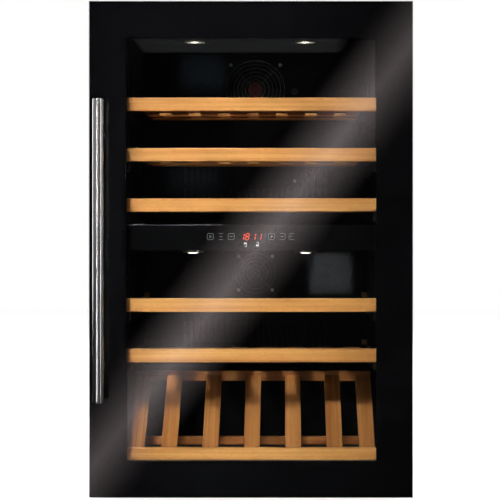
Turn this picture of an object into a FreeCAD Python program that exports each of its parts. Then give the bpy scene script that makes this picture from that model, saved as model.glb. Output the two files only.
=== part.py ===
import FreeCAD, Part
import math
import os
import Sketcher
from types import SimpleNamespace

# A built-in wine cooler with two temperature zones, a glass door hung on the right, five sliding shelves and
# a display rack. Millimetres. +X is to the right of someone facing the door, +Y goes to the back, +Z is up.
# The origin is on the floor, under the middle of the whole cooler with its handle.

SIZES = {
    # cabinet, from the cooled space outwards
    "clear_width": 476,
    "lower_zone_height": 392.5,
    "divider_height": 48,
    "upper_zone_height": 365.5,
    "side_wall": 44,
    "roof_wall": 37,
    "floor_wall": 48,
    "rear_wall": 43,
    "cabinet_depth": 510,
    "foot_height": 14,
    "steel_sheet": 1,
    "frame_steel": 1.5,
    "liner_wall": 2,
    # step in the liner's floor, over the compressor
    "step_height": 143,
    "step_depth": 217,
    "step_foam": 32,
    "step_front_wall": 45,
    # door
    "door_side_overlap": 13,
    "door_top_overlap": 5,
    "floor_gap": 5,
    "door_depth": 40,
    "seal_gap": 10,
    "glass_thickness": 5,
    "glass_corner": 3,
    "mask_thickness": 0.6,
    "mask_inset": 0.3,
    "pane_gap": 12,
    "inner_glass_thickness": 4,
    "window_border": 67,
    "pane_overlap": 16,
    "spacer_width": 10,
    "pane_play": 1,
    "frame_side_inset": 2,
    "frame_lip": 3,
    "frame_web": 3,
    "frame_trough": 30,
    "frame_corner": 45,
    "post_boss": 14,
    "gasket_inset": 16,
    "gasket_top_inset": 11,
    "gasket_width": 14,
    "gasket_base": 4,
    "gasket_bead_inset": 2,
    "gasket_play": 0.3,
    # handle
    "handle_diameter": 20,
    "handle_length": 546,
    "handle_rise": 177.6,
    "handle_inset": 22,
    "handle_standoff": 38,
    "handle_chamfer": 1,
    "post_inset": 64,
    "post_radius": 6,
    "post_flange_radius": 7.5,
    "post_flange": 2,
    "post_stud_radius": 3,
    "post_stud_length": 30,
    "stud_play": 0.5,
    # hinges
    "pivot_inset": 14,
    "pivot_depth": 26,
    "pin_radius": 4,
    "pin_play": 0.05,
    "pin_length": 18,
    "bush_radius": 6,
    "hinge_plate": 3,
    "hinge_play": 1,
    "hinge_arm": 10,
    "hinge_seat_width": 42,
    "hinge_seat_depth": 40,
    # shelves
    "board_height": 25,
    "board_thickness": 18,
    "board_play": 7,
    "board_round": 1.5,
    "shelf_pitch": 93.3,
    "upper_shelf_rise": 36.4,
    "lower_shelf_rise": 198,
    "deck_depth": 243,
    "slat_width": 34,
    "slat_thickness": 4,
    "slat_drop": 5,
    "batten_width": 20,
    "batten_height": 3,
    "batten_first": 120,
    "batten_pitch": 96,
    "deck_play": 27,
    "runner_plate": 3,
    "runner_height": 20,
    "runner_width": 9.5,
    "rail_sheet": 1.5,
    "rail_lip": 8,
    "rail_play": 0.5,
    "rail_gap": 1,
    "rail_setback": 2,
    "rail_length": 330,
    # control strip
    "fascia_thickness": 3,
    "fascia_play": 0.5,
    "fascia_round": 0.8,
    "control_recess_width": 130,
    "control_recess_height": 36,
    "control_recess_depth": 22,
    "board_width": 118,
    "control_board_height": 30,
    "control_board_thickness": 1.6,
    "display_width": 44,
    "display_height": 18,
    "display_depth": 8,
    # rear air covers
    "cover_space": 49,
    "cover_sheet": 3,
    "cover_rim": 14,
    "cover_play": 1,
    "slot_pitch": 12.9,
    "slot_width": 6.4,
    "slot_height": 42,
    "slot_row_gap": 14,
    "upper_slots_rise": 34,
    "lower_slots_rise": 49.5,
    "lower_slots_height": 36,
    # fans
    "upper_fan_drop": 78,
    "lower_fan_drop": 55,
    "fan_depth": 25,
    "fan_big": 120,
    "fan_small": 80,
    "fan_edge": 2,
    "fan_shaft_radius": 2,
    "fan_shaft_play": 0.05,
    "fan_screw_radius": 1.9,
    "fan_screw_play": 0.3,
    "guard_wire": 0.95,
    "guard_ring_pitch": 8.2,
    "guard_gap": 0.05,
    "guard_overlap": 4,
    "guard_eye_play": 0.2,
    "fan_motor_depth": 7,
    "fan_arm_depth": 4,
    "fan_arm_width": 6,
    "fan_arm_root": 1,
    "fan_hub_front": 2,
    "fan_socket_front": 6,
    "fan_shaft_front": 7,
    "fan_running_gap": 0.5,
    "blade_front": 3.5,
    "blade_back": 15.5,
    "blade_sheet": 2.2,
    "blade_root": 1,
    "blade_tip_gap": 3.4,
    "evaporator_sheet": 2,
    "evaporator_channel": 9,
    "evaporator_margin": 40,
    "evaporator_rise": 30,
    "evaporator_drop": 8,
    "evaporator_foot": 12,
    "evaporator_gap": 14,
    "channel_inset": 12,
    "channel_end": 10,
    "channel_spacing": 26,
    "sensor_x": 83,
    "sensor_radius": 7,
    "sensor_height": 5,
    "sensor_drop": 3,
    "small_sensor_drop": 2,
    # lamps
    "lamp_radius": 20.5,
    "lamp_lens_radius": 15,
    "lamp_lens_play": 0.05,
    "lamp_spacing": 220,
    "lamp_shift": -7.5,
    "ceiling_lamp_depth": 210,
    "divider_lamp_depth": 160,
    "ceiling_lamp_height": 3,
    "divider_lamp_height": 7,
    "lamp_lens_setback": 0.6,
    "lamp_lens_thickness": 2,
    # display rack
    "rack_front_height": 26.6,
    "rack_board": 18,
    "rack_slat_width": 30,
    "rack_slat_thickness": 10,
    "rack_slat_pitch_share": 0.359,
    "rack_run": 168,
    "rack_low": 18,
    "rack_high": 144,
    "rack_rail_height": 19,
    "rack_rail_thickness": 15,
    "rack_rail_set": 2,
    "rack_rear_rail_depth": 155,
    "rack_rear_rail_low": 11,
    "rack_rear_rail_height": 15,
    "rack_rear_rail_thickness": 12,
    "rack_side_width": 16,
    # machine compartment
    "tray_steel": 1.5,
    "grille_recess": 2.5,
    "grille_steel": 1.5,
    "grille_play": 0.5,
    "grille_screw_inset": 12,
    "louvre_width": 84,
    "louvre_height": 5,
    "louvre_pitch": 11,
    "louvre_gap": 14,
    "louvre_rise": 20,
    "machine_shift": 3,
    "compressor_x": 70,
    "compressor_radius": 66,
    "compressor_height": 108,
    "compressor_seam": 4,
    "compressor_seam_rise": 48.6,
    "compressor_dome": 29.7,
    "terminal_half_width": 33,
    "terminal_low": 59.4,
    "terminal_high": 91.8,
    "terminal_reach": 8,
    "compressor_plate": 3,
    "compressor_plate_length": 164,
    "compressor_plate_width": 116,
    "grommet_radius": 12,
    "grommet_height": 12,
    "drip_tray_length": 150,
    "drip_tray_width": 110,
    "drip_tray_height": 22,
    "drip_tray_wall": 1.5,
    "drip_tray_rim": 6,
    "condenser_inset": 19,
    "condenser_width": 40,
    "condenser_length": 170,
    "condenser_height": 112,
    "fin_thickness": 0.8,
    "fin_pitch": 8,
    "coil_radius": 3.5,
    "fan_to_condenser": 6,
    "power_box_width": 76,
    "power_box_length": 150,
    "power_box_height": 80,
    "power_box_wall": 3,
    "power_box_inset": 20,
    "inlet_x": 215,
    "inlet_rise": 120,
    "inlet_width": 27,
    "inlet_height": 20,
    "inlet_length": 25,
    "inlet_wall": 1.8,
    "inlet_flange_side": 4,
    "inlet_flange_top": 3,
    "inlet_pin_pitch": 7,
    "inlet_pin_width": 2,
    "inlet_pin_height": 4,
    "inlet_pin_length": 15,
    "pipe_radius": 3,
    "pipe_sink": 4,
    "discharge_offset": 20,
    "suction_offset": 24,
    "liquid_offset": 60,
    "drier_radius": 9,
    "drier_length": 80,
    # feet and the wall fixings
    "foot_radius": 15,
    "foot_pad": 9,
    "foot_inset": 70,
    "foot_setback": 45,
    "rear_foot_setback": 60,
    "foot_stem_radius": 4,
    "foot_stem_play": 0.05,
    "foot_stem_length": 22,
    "wall_hole_radius": 2.6,
    "wall_hole_depth": 15,
    "wall_hole_spacing_x": 460,
    "wall_hole_spacing_z": 560,
    "wall_hole_drop": 70,
    # screws
    "screw_head_radius": 3.6,
    "screw_head": 1.8,
    "screw_radius": 2,
    "screw_length": 10,
}

SLOTS_ACROSS = 24
SLOTS_BESIDE_FAN = 6
SHELF_SLATS = 8
SHELF_BATTENS = 2
FAN_BLADES = 7
FAN_ARMS = 4
GUARD_RINGS_BIG = 7
GUARD_RINGS_SMALL = 5
LOUVRE_COLUMNS = 4
COMPARTMENT_LOUVRES = 10
CONDENSER_FINS = 21
COIL_COLUMNS = 2
COIL_LEVELS = 5
SUCTION_TUBE_SHARE = 1.3
FAN_SCREW_SHARE_BIG = 0.875
FAN_SCREW_SHARE_SMALL = 0.894
HINGE_SCREW_SHARES = (0.3, 0.75)


class Size:
    """A length that follows the sheet: its value now, and the expression that keeps it so."""

    def __init__(self, value, text):
        self.value = float(value)
        self.text = text

    def __add__(self, other):
        other = as_size(other)
        return Size(self.value + other.value, f"({self.text} + {other.text})")

    def __sub__(self, other):
        other = as_size(other)
        return Size(self.value - other.value, f"({self.text} - {other.text})")

    def __mul__(self, other):
        other = as_size(other)
        return Size(self.value * other.value, f"({self.text} * {other.text})")

    def __truediv__(self, other):
        other = as_size(other)
        return Size(self.value / other.value, f"({self.text} / {other.text})")

    def __neg__(self):
        return Size(-self.value, f"(-1 * {self.text})")

    def __radd__(self, other):
        return as_size(other) + self

    def __rsub__(self, other):
        return as_size(other) - self

    def __rmul__(self, other):
        return as_size(other) * self


def as_size(number):
    if isinstance(number, Size):
        return number
    return Size(number, f"{float(number):.9g}")


doc = FreeCAD.newDocument("WineCooler")
sheet = doc.addObject("Spreadsheet::Sheet", "Sizes")
for row, (name, value) in enumerate(SIZES.items(), start=1):
    sheet.set(f"A{row}", name)
    sheet.set(f"B{row}", str(value))
    sheet.setAlias(f"B{row}", name)
doc.recompute()
s = SimpleNamespace(**{name: Size(value, f"Sizes.{name}") for name, value in SIZES.items()})

# ---------------------------------------------------------------- places worked out from the driving sizes

half_clear = s.clear_width / 2
half_cabinet = half_clear + s.side_wall
half_door = half_cabinet + s.door_side_overlap
half_liner = half_clear + s.liner_wall
half_shell = half_cabinet - s.steel_sheet

cabinet_bottom = s.foot_height
liner_floor = cabinet_bottom + s.floor_wall
fascia_bottom = liner_floor + s.lower_zone_height
fascia_top = fascia_bottom + s.divider_height
fascia_middle = fascia_bottom + s.divider_height / 2
ceiling = fascia_top + s.upper_zone_height
cabinet_top = ceiling + s.roof_wall
door_bottom = s.floor_gap
door_top = cabinet_top + s.door_top_overlap
door_height = door_top - door_bottom

handle_reach = s.handle_standoff + s.handle_diameter / 2
total_depth = handle_reach + s.door_depth + s.seal_gap + s.cabinet_depth
door_front = handle_reach - total_depth / 2
door_back = door_front + s.door_depth
cabinet_front = door_back + s.seal_gap
cabinet_back = cabinet_front + s.cabinet_depth
shell_front = cabinet_front + s.frame_steel
liner_back = cabinet_back - s.rear_wall
cover_face = liner_back - s.cover_space

step_top = liner_floor + s.step_height
step_front = liner_back - s.step_depth
compartment_roof = step_top - s.step_foam
compartment_front = step_front + s.step_front_wall
tray_top = cabinet_bottom + s.tray_steel
grille_face = cabinet_back - s.grille_recess

half_window = half_door - s.window_border
window_bottom = door_bottom + s.window_border
window_top = door_top - s.window_border
mask_back = door_front + s.glass_thickness + s.mask_thickness
half_pane = half_window + s.pane_overlap
pane_bottom = window_bottom - s.pane_overlap
pane_top = window_top + s.pane_overlap
half_frame = half_door - s.frame_side_inset
frame_bottom = cabinet_bottom + s.hinge_play
frame_top = cabinet_top - s.hinge_play
frame_depth = door_back - mask_back

pivot_x = half_door - s.pivot_inset
pivot_y = door_front + s.pivot_depth
handle_x = s.handle_inset - half_door
handle_y = door_front - s.handle_standoff
handle_bottom = door_bottom + s.handle_rise
post_heights = [handle_bottom + s.post_inset, handle_bottom + s.handle_length - s.post_inset]

half_board = half_clear - s.board_play
board_back = cabinet_front + s.board_thickness
half_deck = half_board - s.deck_play
slat_underside = -(s.slat_drop + s.slat_thickness)
runner_outer = half_clear - s.rail_sheet - s.rail_gap
runner_inner = runner_outer - s.runner_width
shelf_heights = [
    fascia_top + s.upper_shelf_rise + 2 * s.shelf_pitch,
    fascia_top + s.upper_shelf_rise + s.shelf_pitch,
    fascia_top + s.upper_shelf_rise,
    liner_floor + s.lower_shelf_rise + s.shelf_pitch,
    liner_floor + s.lower_shelf_rise,
]

upper_fan_z = ceiling - s.upper_fan_drop
lower_fan_z = fascia_bottom - s.lower_fan_drop
machine_y = (compartment_front + cabinet_back) / 2 + s.machine_shift
lamp_xs = [s.lamp_shift - s.lamp_spacing / 2, s.lamp_shift + s.lamp_spacing / 2]
front_foot_y = cabinet_front + s.foot_setback
rear_foot_y = cabinet_back - s.rear_foot_setback
foot_x = half_cabinet - s.foot_inset


# ---------------------------------------------------------------- ways of making a piece

PLANES = {"XY": "XY_Plane", "XZ": "XZ_Plane", "YZ": "YZ_Plane"}
nodes = []


def bind(thing, path, size):
    """Tie one property of an object to the sheet."""
    thing.setExpression(path, as_size(size).text)


def place(thing, x, y, z):
    for axis, size in zip("xyz", (x, y, z)):
        bind(thing, f"Placement.Base.{axis}", size)


def new_body(label, x=0, y=0, z=0, node=True):
    """A body whose own origin stands at x, y, z; a node is written to its own file."""
    body = doc.addObject("PartDesign::Body", label)
    body.Label = label
    place(body, x, y, z)
    if node:
        nodes.append(body)
    return body


def group(label, members):
    """One node of separate solids."""
    compound = doc.addObject("Part::Compound", label)
    compound.Label = label
    compound.Links = members
    nodes.append(compound)
    return compound


def rect(left, right, low, high):
    return [(left, low), (right, low), (right, high), (left, high)]


def fix_point(sketch, geometry, point, kind, size):
    size = as_size(size)
    index = sketch.addConstraint(Sketcher.Constraint(kind, -1, 1, geometry, point, size.value))
    sketch.setExpression(f"Constraints[{index}]", size.text)


def draw(sketch, outlines, circles):
    """Closed outlines of straight lines and full circles, each point and radius tied to the sheet."""
    for points in outlines:
        first = sketch.GeometryCount
        count = len(points)
        for index, (across, up) in enumerate(points):
            next_across, next_up = points[(index + 1) % count]
            start = FreeCAD.Vector(as_size(across).value, as_size(up).value, 0)
            end = FreeCAD.Vector(as_size(next_across).value, as_size(next_up).value, 0)
            sketch.addGeometry(Part.LineSegment(start, end), False)
        for index in range(count):
            after = first + (index + 1) % count
            sketch.addConstraint(Sketcher.Constraint("Coincident", first + index, 2, after, 1))
        for index, (across, up) in enumerate(points):
            fix_point(sketch, first + index, 1, "DistanceX", across)
            fix_point(sketch, first + index, 1, "DistanceY", up)
    for across, up, radius in circles:
        centre = FreeCAD.Vector(as_size(across).value, as_size(up).value, 0)
        radius = as_size(radius)
        circle = sketch.addGeometry(Part.Circle(centre, FreeCAD.Vector(0, 0, 1), radius.value), False)
        fix_point(sketch, circle, 3, "DistanceX", across)
        fix_point(sketch, circle, 3, "DistanceY", up)
        index = sketch.addConstraint(Sketcher.Constraint("Radius", circle, radius.value))
        sketch.setExpression(f"Constraints[{index}]", radius.text)


def new_sketch(body, plane, offset, outlines, circles):
    """A sketch on one of the body's own planes, moved along that plane's world axis by offset."""
    sketch = body.newObject("Sketcher::SketchObject", body.Name + "_sketch")
    planes = {feature.Role: feature for feature in body.Origin.OriginFeatures}
    sketch.AttachmentSupport = (planes[PLANES[plane]], [""])
    sketch.MapMode = "FlatFace"
    along = -as_size(offset) if plane == "XZ" else as_size(offset)
    bind(sketch, "AttachmentOffset.Base.z", along)
    draw(sketch, outlines, circles)
    return sketch


def pad(body, plane, offset, length, outlines=(), circles=()):
    """Material from the sketch plane towards the positive axis that is square to it."""
    feature_sketch = new_sketch(body, plane, offset, outlines, circles)
    feature = body.newObject("PartDesign::Pad", body.Name + "_pad")
    feature.Profile = feature_sketch
    bind(feature, "Length", length)
    feature.Reversed = plane == "XZ"
    body.Tip = feature
    return feature


def pocket(body, plane, offset, length, outlines=(), circles=()):
    """A cut from the sketch plane towards the positive axis that is square to it."""
    feature_sketch = new_sketch(body, plane, offset, outlines, circles)
    feature = body.newObject("PartDesign::Pocket", body.Name + "_pocket")
    feature.Profile = feature_sketch
    bind(feature, "Length", length)
    feature.Reversed = plane != "XZ"
    body.Tip = feature
    return feature


def repeat_in_line(body, feature, axis, count, pitch):
    """Copies of a feature along the sketch's H_Axis or V_Axis."""
    pattern = body.newObject("PartDesign::LinearPattern", body.Name + "_row")
    pattern.Originals = [feature]
    pattern.Direction = (feature.Profile[0], [axis])
    bind(pattern, "Length", pitch * (count - 1))
    pattern.Occurrences = count
    body.Tip = pattern
    return pattern


def repeat_around(body, feature, count):
    """Copies of a feature around the body's own Y axis."""
    axes = {origin_feature.Role: origin_feature for origin_feature in body.Origin.OriginFeatures}
    pattern = body.newObject("PartDesign::PolarPattern", body.Name + "_ring")
    pattern.Originals = [feature]
    pattern.Axis = (axes["Y_Axis"], [""])
    pattern.Angle = 360
    pattern.Occurrences = count
    body.Tip = pattern
    return pattern


def edges_where(shape, wanted):
    return [f"Edge{index}" for index, edge in enumerate(shape.Edges, start=1) if wanted(edge)]


def runs_along(edge, axis):
    """True for a straight edge along the axis, given as 0, 1 or 2."""
    if not isinstance(edge.Curve, Part.Line):
        return False
    return abs(abs(edge.Curve.Direction[axis]) - 1) < 1e-6


def fillet(body, radius, wanted, kind="PartDesign::Fillet"):
    """Round (or chamfer) the edges of the tip feature that pass the test."""
    doc.recompute()
    base = body.Tip
    feature = body.newObject(kind, body.Name + "_edge")
    feature.Base = (base, edges_where(base.Shape, wanted))
    bind(feature, "Radius" if kind.endswith("Fillet") else "Size", radius)
    body.Tip = feature
    return feature


# ---------------------------------------------------------------- door

def make_door_glass():
    """Outer pane over the whole door, its printed border, the spacer and the inner pane."""
    outer = new_body("door_outer_glass", 0, door_front, door_bottom)
    pad(outer, "XZ", 0, s.glass_thickness, [rect(-half_door, half_door, 0, door_height)])
    pocket(outer, "XZ", 0, s.glass_thickness, circles=[
        (handle_x, z - door_bottom, s.post_stud_radius + s.stud_play) for z in post_heights])
    fillet(outer, s.glass_corner, lambda edge: runs_along(edge, 1))

    mask = new_body("door_border_mask", 0, door_front + s.glass_thickness, door_bottom)
    inset = s.mask_inset
    pad(mask, "XZ", 0, s.mask_thickness, [
        rect(inset - half_door, half_door - inset, inset, door_height - inset),
        rect(-half_window, half_window, s.window_border, door_height - s.window_border)])
    pocket(mask, "XZ", 0, s.mask_thickness, circles=[
        (handle_x, z - door_bottom, s.post_stud_radius + s.stud_play) for z in post_heights])

    spacer = new_body("door_spacer", 0, mask_back, 0)
    pad(spacer, "XZ", 0, s.pane_gap, [
        rect(-half_pane, half_pane, pane_bottom, pane_top),
        rect(s.spacer_width - half_pane, half_pane - s.spacer_width,
             pane_bottom + s.spacer_width, pane_top - s.spacer_width)])

    inner = new_body("door_inner_glass", 0, mask_back + s.pane_gap, 0)
    pad(inner, "XZ", 0, s.inner_glass_thickness, [rect(-half_pane, half_pane, pane_bottom, pane_top)])


def make_door_frame():
    """Moulded ring behind the glass: a rebate for the inner pane, hollowed from the front between its
    solid corners and the bosses that the handle is bolted to."""
    frame = new_body("door_frame", 0, mask_back, 0)
    lip = half_window + s.frame_lip
    pad(frame, "XZ", 0, frame_depth, [
        rect(-half_frame, half_frame, frame_bottom, frame_top),
        rect(-lip, lip, window_bottom - s.frame_lip, window_top + s.frame_lip)])
    rebate = half_pane + s.pane_play
    rebate_bottom = pane_bottom - s.pane_play
    rebate_top = pane_top + s.pane_play
    pocket(frame, "XZ", 0, s.pane_gap + s.inner_glass_thickness, [
        rect(-rebate, rebate, rebate_bottom, rebate_top)])

    trough_outer = half_frame - s.frame_web
    trough_inner = rebate + s.frame_web
    low = frame_bottom + s.frame_corner
    high = frame_top - s.frame_corner
    stations = [low]
    for z in post_heights:
        stations += [z - s.post_boss, z + s.post_boss]
    stations.append(high)
    troughs = [rect(-trough_outer, -trough_inner, stations[i], stations[i + 1]) for i in (0, 2, 4)]
    troughs.append(rect(trough_inner, trough_outer, low, high))
    across = half_frame - s.frame_corner
    troughs.append(rect(-across, across, rebate_top + s.frame_web, frame_top - s.frame_web))
    troughs.append(rect(-across, across, frame_bottom + s.frame_web, rebate_bottom - s.frame_web))
    pocket(frame, "XZ", 0, s.frame_trough, troughs)

    pocket(frame, "XZ", 0, frame_depth, circles=[
        (handle_x, z, s.post_stud_radius + s.stud_play) for z in post_heights])
    for bottom in (frame_bottom, frame_top - s.pin_length):
        pocket(frame, "XY", bottom, s.pin_length, circles=[(pivot_x, pivot_y - mask_back, s.bush_radius)])

    bushes = new_body("hinge_bushes", pivot_x, pivot_y, 0)
    for bottom in (frame_bottom, frame_top - s.pin_length):
        pad(bushes, "XY", bottom, s.pin_length, circles=[(0, 0, s.bush_radius)])
        pocket(bushes, "XY", bottom, s.pin_length, circles=[(0, 0, s.pin_radius + s.pin_play)])


def make_gasket():
    """Magnetic rubber seal: a flat base against the door frame and a bead that meets the cabinet."""
    gasket = new_body("door_gasket", 0, door_back, 0)
    outer = half_cabinet - s.gasket_inset
    low = cabinet_bottom + s.gasket_inset
    high = cabinet_top - s.gasket_top_inset

    def ring(inset):
        inner = s.gasket_width - inset
        return [rect(inset - outer, outer - inset, low + inset, high - inset),
                rect(inner - outer, outer - inner, low + inner, high - inner)]

    pad(gasket, "XZ", 0, s.gasket_base, ring(as_size(0)))
    pad(gasket, "XZ", s.gasket_base, s.seal_gap - s.gasket_base - s.gasket_play, ring(s.gasket_bead_inset))


def make_handle():
    """Round steel bar on two posts, bolted through the glass into the frame."""
    bar = new_body("handle_bar", handle_x, handle_y, handle_bottom)
    pad(bar, "XY", 0, s.handle_length, circles=[(0, 0, s.handle_diameter / 2)])
    for z in (s.post_inset, s.handle_length - s.post_inset):
        pocket(bar, "XZ", 0, s.handle_diameter, circles=[(0, z, s.post_radius)])
    ends = (0, SIZES["handle_length"])
    fillet(bar, s.handle_chamfer, kind="PartDesign::Chamfer", wanted=lambda edge: (
        isinstance(edge.Curve, Part.Circle) and any(abs(edge.CenterOfMass.z - end) < 1e-3 for end in ends)))

    posts = new_body("handle_posts", handle_x, handle_y, 0)
    post_length = s.handle_standoff
    for z in post_heights:
        pad(posts, "XZ", 0, post_length, circles=[(0, z, s.post_radius)])
        pad(posts, "XZ", post_length - s.post_flange, s.post_flange, circles=[(0, z, s.post_flange_radius)])
        pad(posts, "XZ", post_length, s.post_stud_length, circles=[(0, z, s.post_stud_radius)])


# ---------------------------------------------------------------- cabinet shell

def step_outline(front, floor, riser, step, back, top):
    """Side view of a box whose floor steps up at the back."""
    return [(front, floor), (riser, floor), (riser, step), (back, step), (back, top), (front, top)]


def make_shell():
    """Folded steel wrapper, pressed front frame, rear panel, liner and the foam between them."""
    wrapper = new_body("outer_wrapper", 0, shell_front, 0)
    pad(wrapper, "XZ", 0, s.cabinet_depth - s.frame_steel, [[
        (-half_cabinet, cabinet_bottom), (-half_shell, cabinet_bottom),
        (-half_shell, cabinet_top - s.steel_sheet), (half_shell, cabinet_top - s.steel_sheet),
        (half_shell, cabinet_bottom), (half_cabinet, cabinet_bottom),
        (half_cabinet, cabinet_top), (-half_cabinet, cabinet_top)]])

    frame = new_body("front_frame", 0, cabinet_front, 0)
    pad(frame, "XZ", 0, s.frame_steel, [
        rect(-half_cabinet, half_cabinet, cabinet_bottom, cabinet_top),
        rect(-half_clear, half_clear, liner_floor, ceiling)])

    wall_holes = [
        (side * s.wall_hole_spacing_x / 2, cabinet_top - s.wall_hole_drop - level * s.wall_hole_spacing_z)
        for side in (-1, 1) for level in (0, 1)]
    panel = new_body("rear_panel", 0, cabinet_back - s.steel_sheet, 0)
    pad(panel, "XZ", 0, s.steel_sheet, [
        rect(-half_shell, half_shell, compartment_roof, cabinet_top - s.steel_sheet)])
    pocket(panel, "XZ", 0, s.steel_sheet, circles=[(x, z, s.wall_hole_radius) for x, z in wall_holes])

    liner = new_body("inner_liner")
    liner_outside = step_outline(
        shell_front, liner_floor - s.liner_wall, step_front + s.liner_wall, step_top - s.liner_wall,
        liner_back + s.liner_wall, ceiling + s.liner_wall)
    pad(liner, "YZ", -half_liner, 2 * half_liner, [liner_outside])
    pocket(liner, "YZ", -half_clear, 2 * half_clear, [
        step_outline(shell_front, liner_floor, step_front, step_top, liner_back, ceiling)])

    foam = new_body("insulation_foam")
    pad(foam, "YZ", -half_shell, 2 * half_shell, [step_outline(
        shell_front, tray_top, compartment_front, compartment_roof,
        cabinet_back - s.steel_sheet, cabinet_top - s.steel_sheet)])
    pocket(foam, "YZ", -half_liner, 2 * half_liner, [liner_outside])
    pocket(foam, "XZ", cabinet_back - s.steel_sheet - s.wall_hole_depth, s.wall_hole_depth,
           circles=[(x, z, s.wall_hole_radius) for x, z in wall_holes])
    pocket(foam, "XY", tray_top, s.foot_stem_length, circles=[
        (side * foot_x, front_foot_y, s.foot_radius / 2) for side in (-1, 1)])


def make_base():
    """Base tray, two fixed rear feet and two front feet that screw up and down in it."""
    tray = new_body("base_tray", 0, 0, cabinet_bottom)
    pad(tray, "XY", 0, s.tray_steel, [
        rect(-half_shell, half_shell, shell_front, grille_face - s.grille_steel)])
    pocket(tray, "XY", 0, s.tray_steel, circles=[
        (side * foot_x, front_foot_y, s.foot_stem_radius + s.foot_stem_play) for side in (-1, 1)])

    rear = new_body("feet_rear", 0, rear_foot_y, 0)
    pad(rear, "XY", 0, s.foot_height, circles=[(side * foot_x, 0, s.foot_radius) for side in (-1, 1)])
    fillet(rear, s.board_round, lambda edge: abs(edge.CenterOfMass.z) < 1e-3)

    for name, side in (("foot_front_left", -1), ("foot_front_right", 1)):
        foot = new_body(name, side * foot_x, front_foot_y, 0)
        pad(foot, "XY", 0, s.foot_pad, circles=[(0, 0, s.foot_radius)])
        fillet(foot, s.board_round, lambda edge: abs(edge.CenterOfMass.z) < 1e-3)
        nut = s.foot_stem_radius * 2
        flat = nut * math.sqrt(3) / 2
        pad(foot, "XY", s.foot_pad, s.foot_height - s.foot_pad - s.hinge_play, [[
            (nut, 0), (nut / 2, flat), (-nut / 2, flat), (-nut, 0), (-nut / 2, -flat), (nut / 2, -flat)]])
        pad(foot, "XY", s.foot_pad, s.foot_stem_length, circles=[(0, 0, s.foot_stem_radius)])


def make_hinges():
    """A plate over the cabinet and one under it, each with a riveted pin that enters the door frame."""
    brackets = []
    for name, plate_bottom, pin_bottom in (
            ("hinge_top", cabinet_top, cabinet_top - s.pin_length),
            ("hinge_bottom", cabinet_bottom - s.hinge_plate, cabinet_bottom)):
        bracket = new_body(name, node=False)
        seat = rect(half_shell - s.hinge_seat_width, half_shell, cabinet_front,
                    cabinet_front + s.hinge_seat_depth)
        arm = rect(pivot_x - s.hinge_arm, pivot_x + s.hinge_arm, pivot_y, cabinet_front)
        pad(bracket, "XY", plate_bottom, s.hinge_plate, [seat])
        pad(bracket, "XY", plate_bottom, s.hinge_plate, [arm])
        pad(bracket, "XY", plate_bottom, s.hinge_plate, circles=[(pivot_x, pivot_y, s.hinge_arm)])
        pad(bracket, "XY", pin_bottom, s.pin_length, circles=[(pivot_x, pivot_y, s.pin_radius)])
        brackets.append(bracket)
    group("hinge_brackets", brackets)


# ---------------------------------------------------------------- divider, controls and lamps

def make_divider():
    """Insulated shelf between the zones, with the control electronics in its front edge."""
    divider = new_body("zone_divider", 0, cabinet_front + s.fascia_thickness, 0)
    inset = s.fascia_play
    pad(divider, "XZ", 0, cover_face - cabinet_front - s.fascia_thickness, [
        rect(-half_clear, half_clear, fascia_bottom + inset, fascia_top - inset)])
    half_recess = s.control_recess_width / 2
    pocket(divider, "XZ", 0, s.control_recess_depth, [
        rect(-half_recess, half_recess, fascia_middle - s.control_recess_height / 2,
             fascia_middle + s.control_recess_height / 2)])

    fascia = new_body("control_fascia", 0, cabinet_front, fascia_bottom)
    pad(fascia, "XZ", 0, s.fascia_thickness, [
        rect(s.fascia_play - half_clear, half_clear - s.fascia_play, 0, s.divider_height)])
    fillet(fascia, s.fascia_round, lambda edge: runs_along(edge, 0) and abs(edge.CenterOfMass.y) < 1e-3)

    board = new_body("control_board", 0, cabinet_front + s.fascia_thickness, fascia_middle)
    pad(board, "XZ", s.display_depth, s.control_board_thickness, [
        rect(-s.board_width / 2, s.board_width / 2,
             -s.control_board_height / 2, s.control_board_height / 2)])
    pad(board, "XZ", 0, s.display_depth, [
        rect(-s.display_width / 2, s.display_width / 2, -s.display_height / 2, s.display_height / 2)])


def make_lamps():
    """Round downlights: two in the ceiling and two under the divider."""
    places = [
        (ceiling - s.ceiling_lamp_height, s.ceiling_lamp_height, cabinet_front + s.ceiling_lamp_depth),
        (fascia_bottom + s.fascia_play - s.divider_lamp_height, s.divider_lamp_height,
         cabinet_front + s.divider_lamp_depth)]
    bezels = new_body("lamp_bezels")
    lenses = new_body("lamp_lenses")
    for low, height, y in places:
        pad(bezels, "XY", low, height, circles=[(x, y, s.lamp_radius) for x in lamp_xs])
        pocket(bezels, "XY", low, height, circles=[(x, y, s.lamp_lens_radius) for x in lamp_xs])
        pad(lenses, "XY", low + s.lamp_lens_setback, s.lamp_lens_thickness,
            circles=[(x, y, s.lamp_lens_radius - s.lamp_lens_play) for x in lamp_xs])


# ---------------------------------------------------------------- shelves and the display rack

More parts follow.
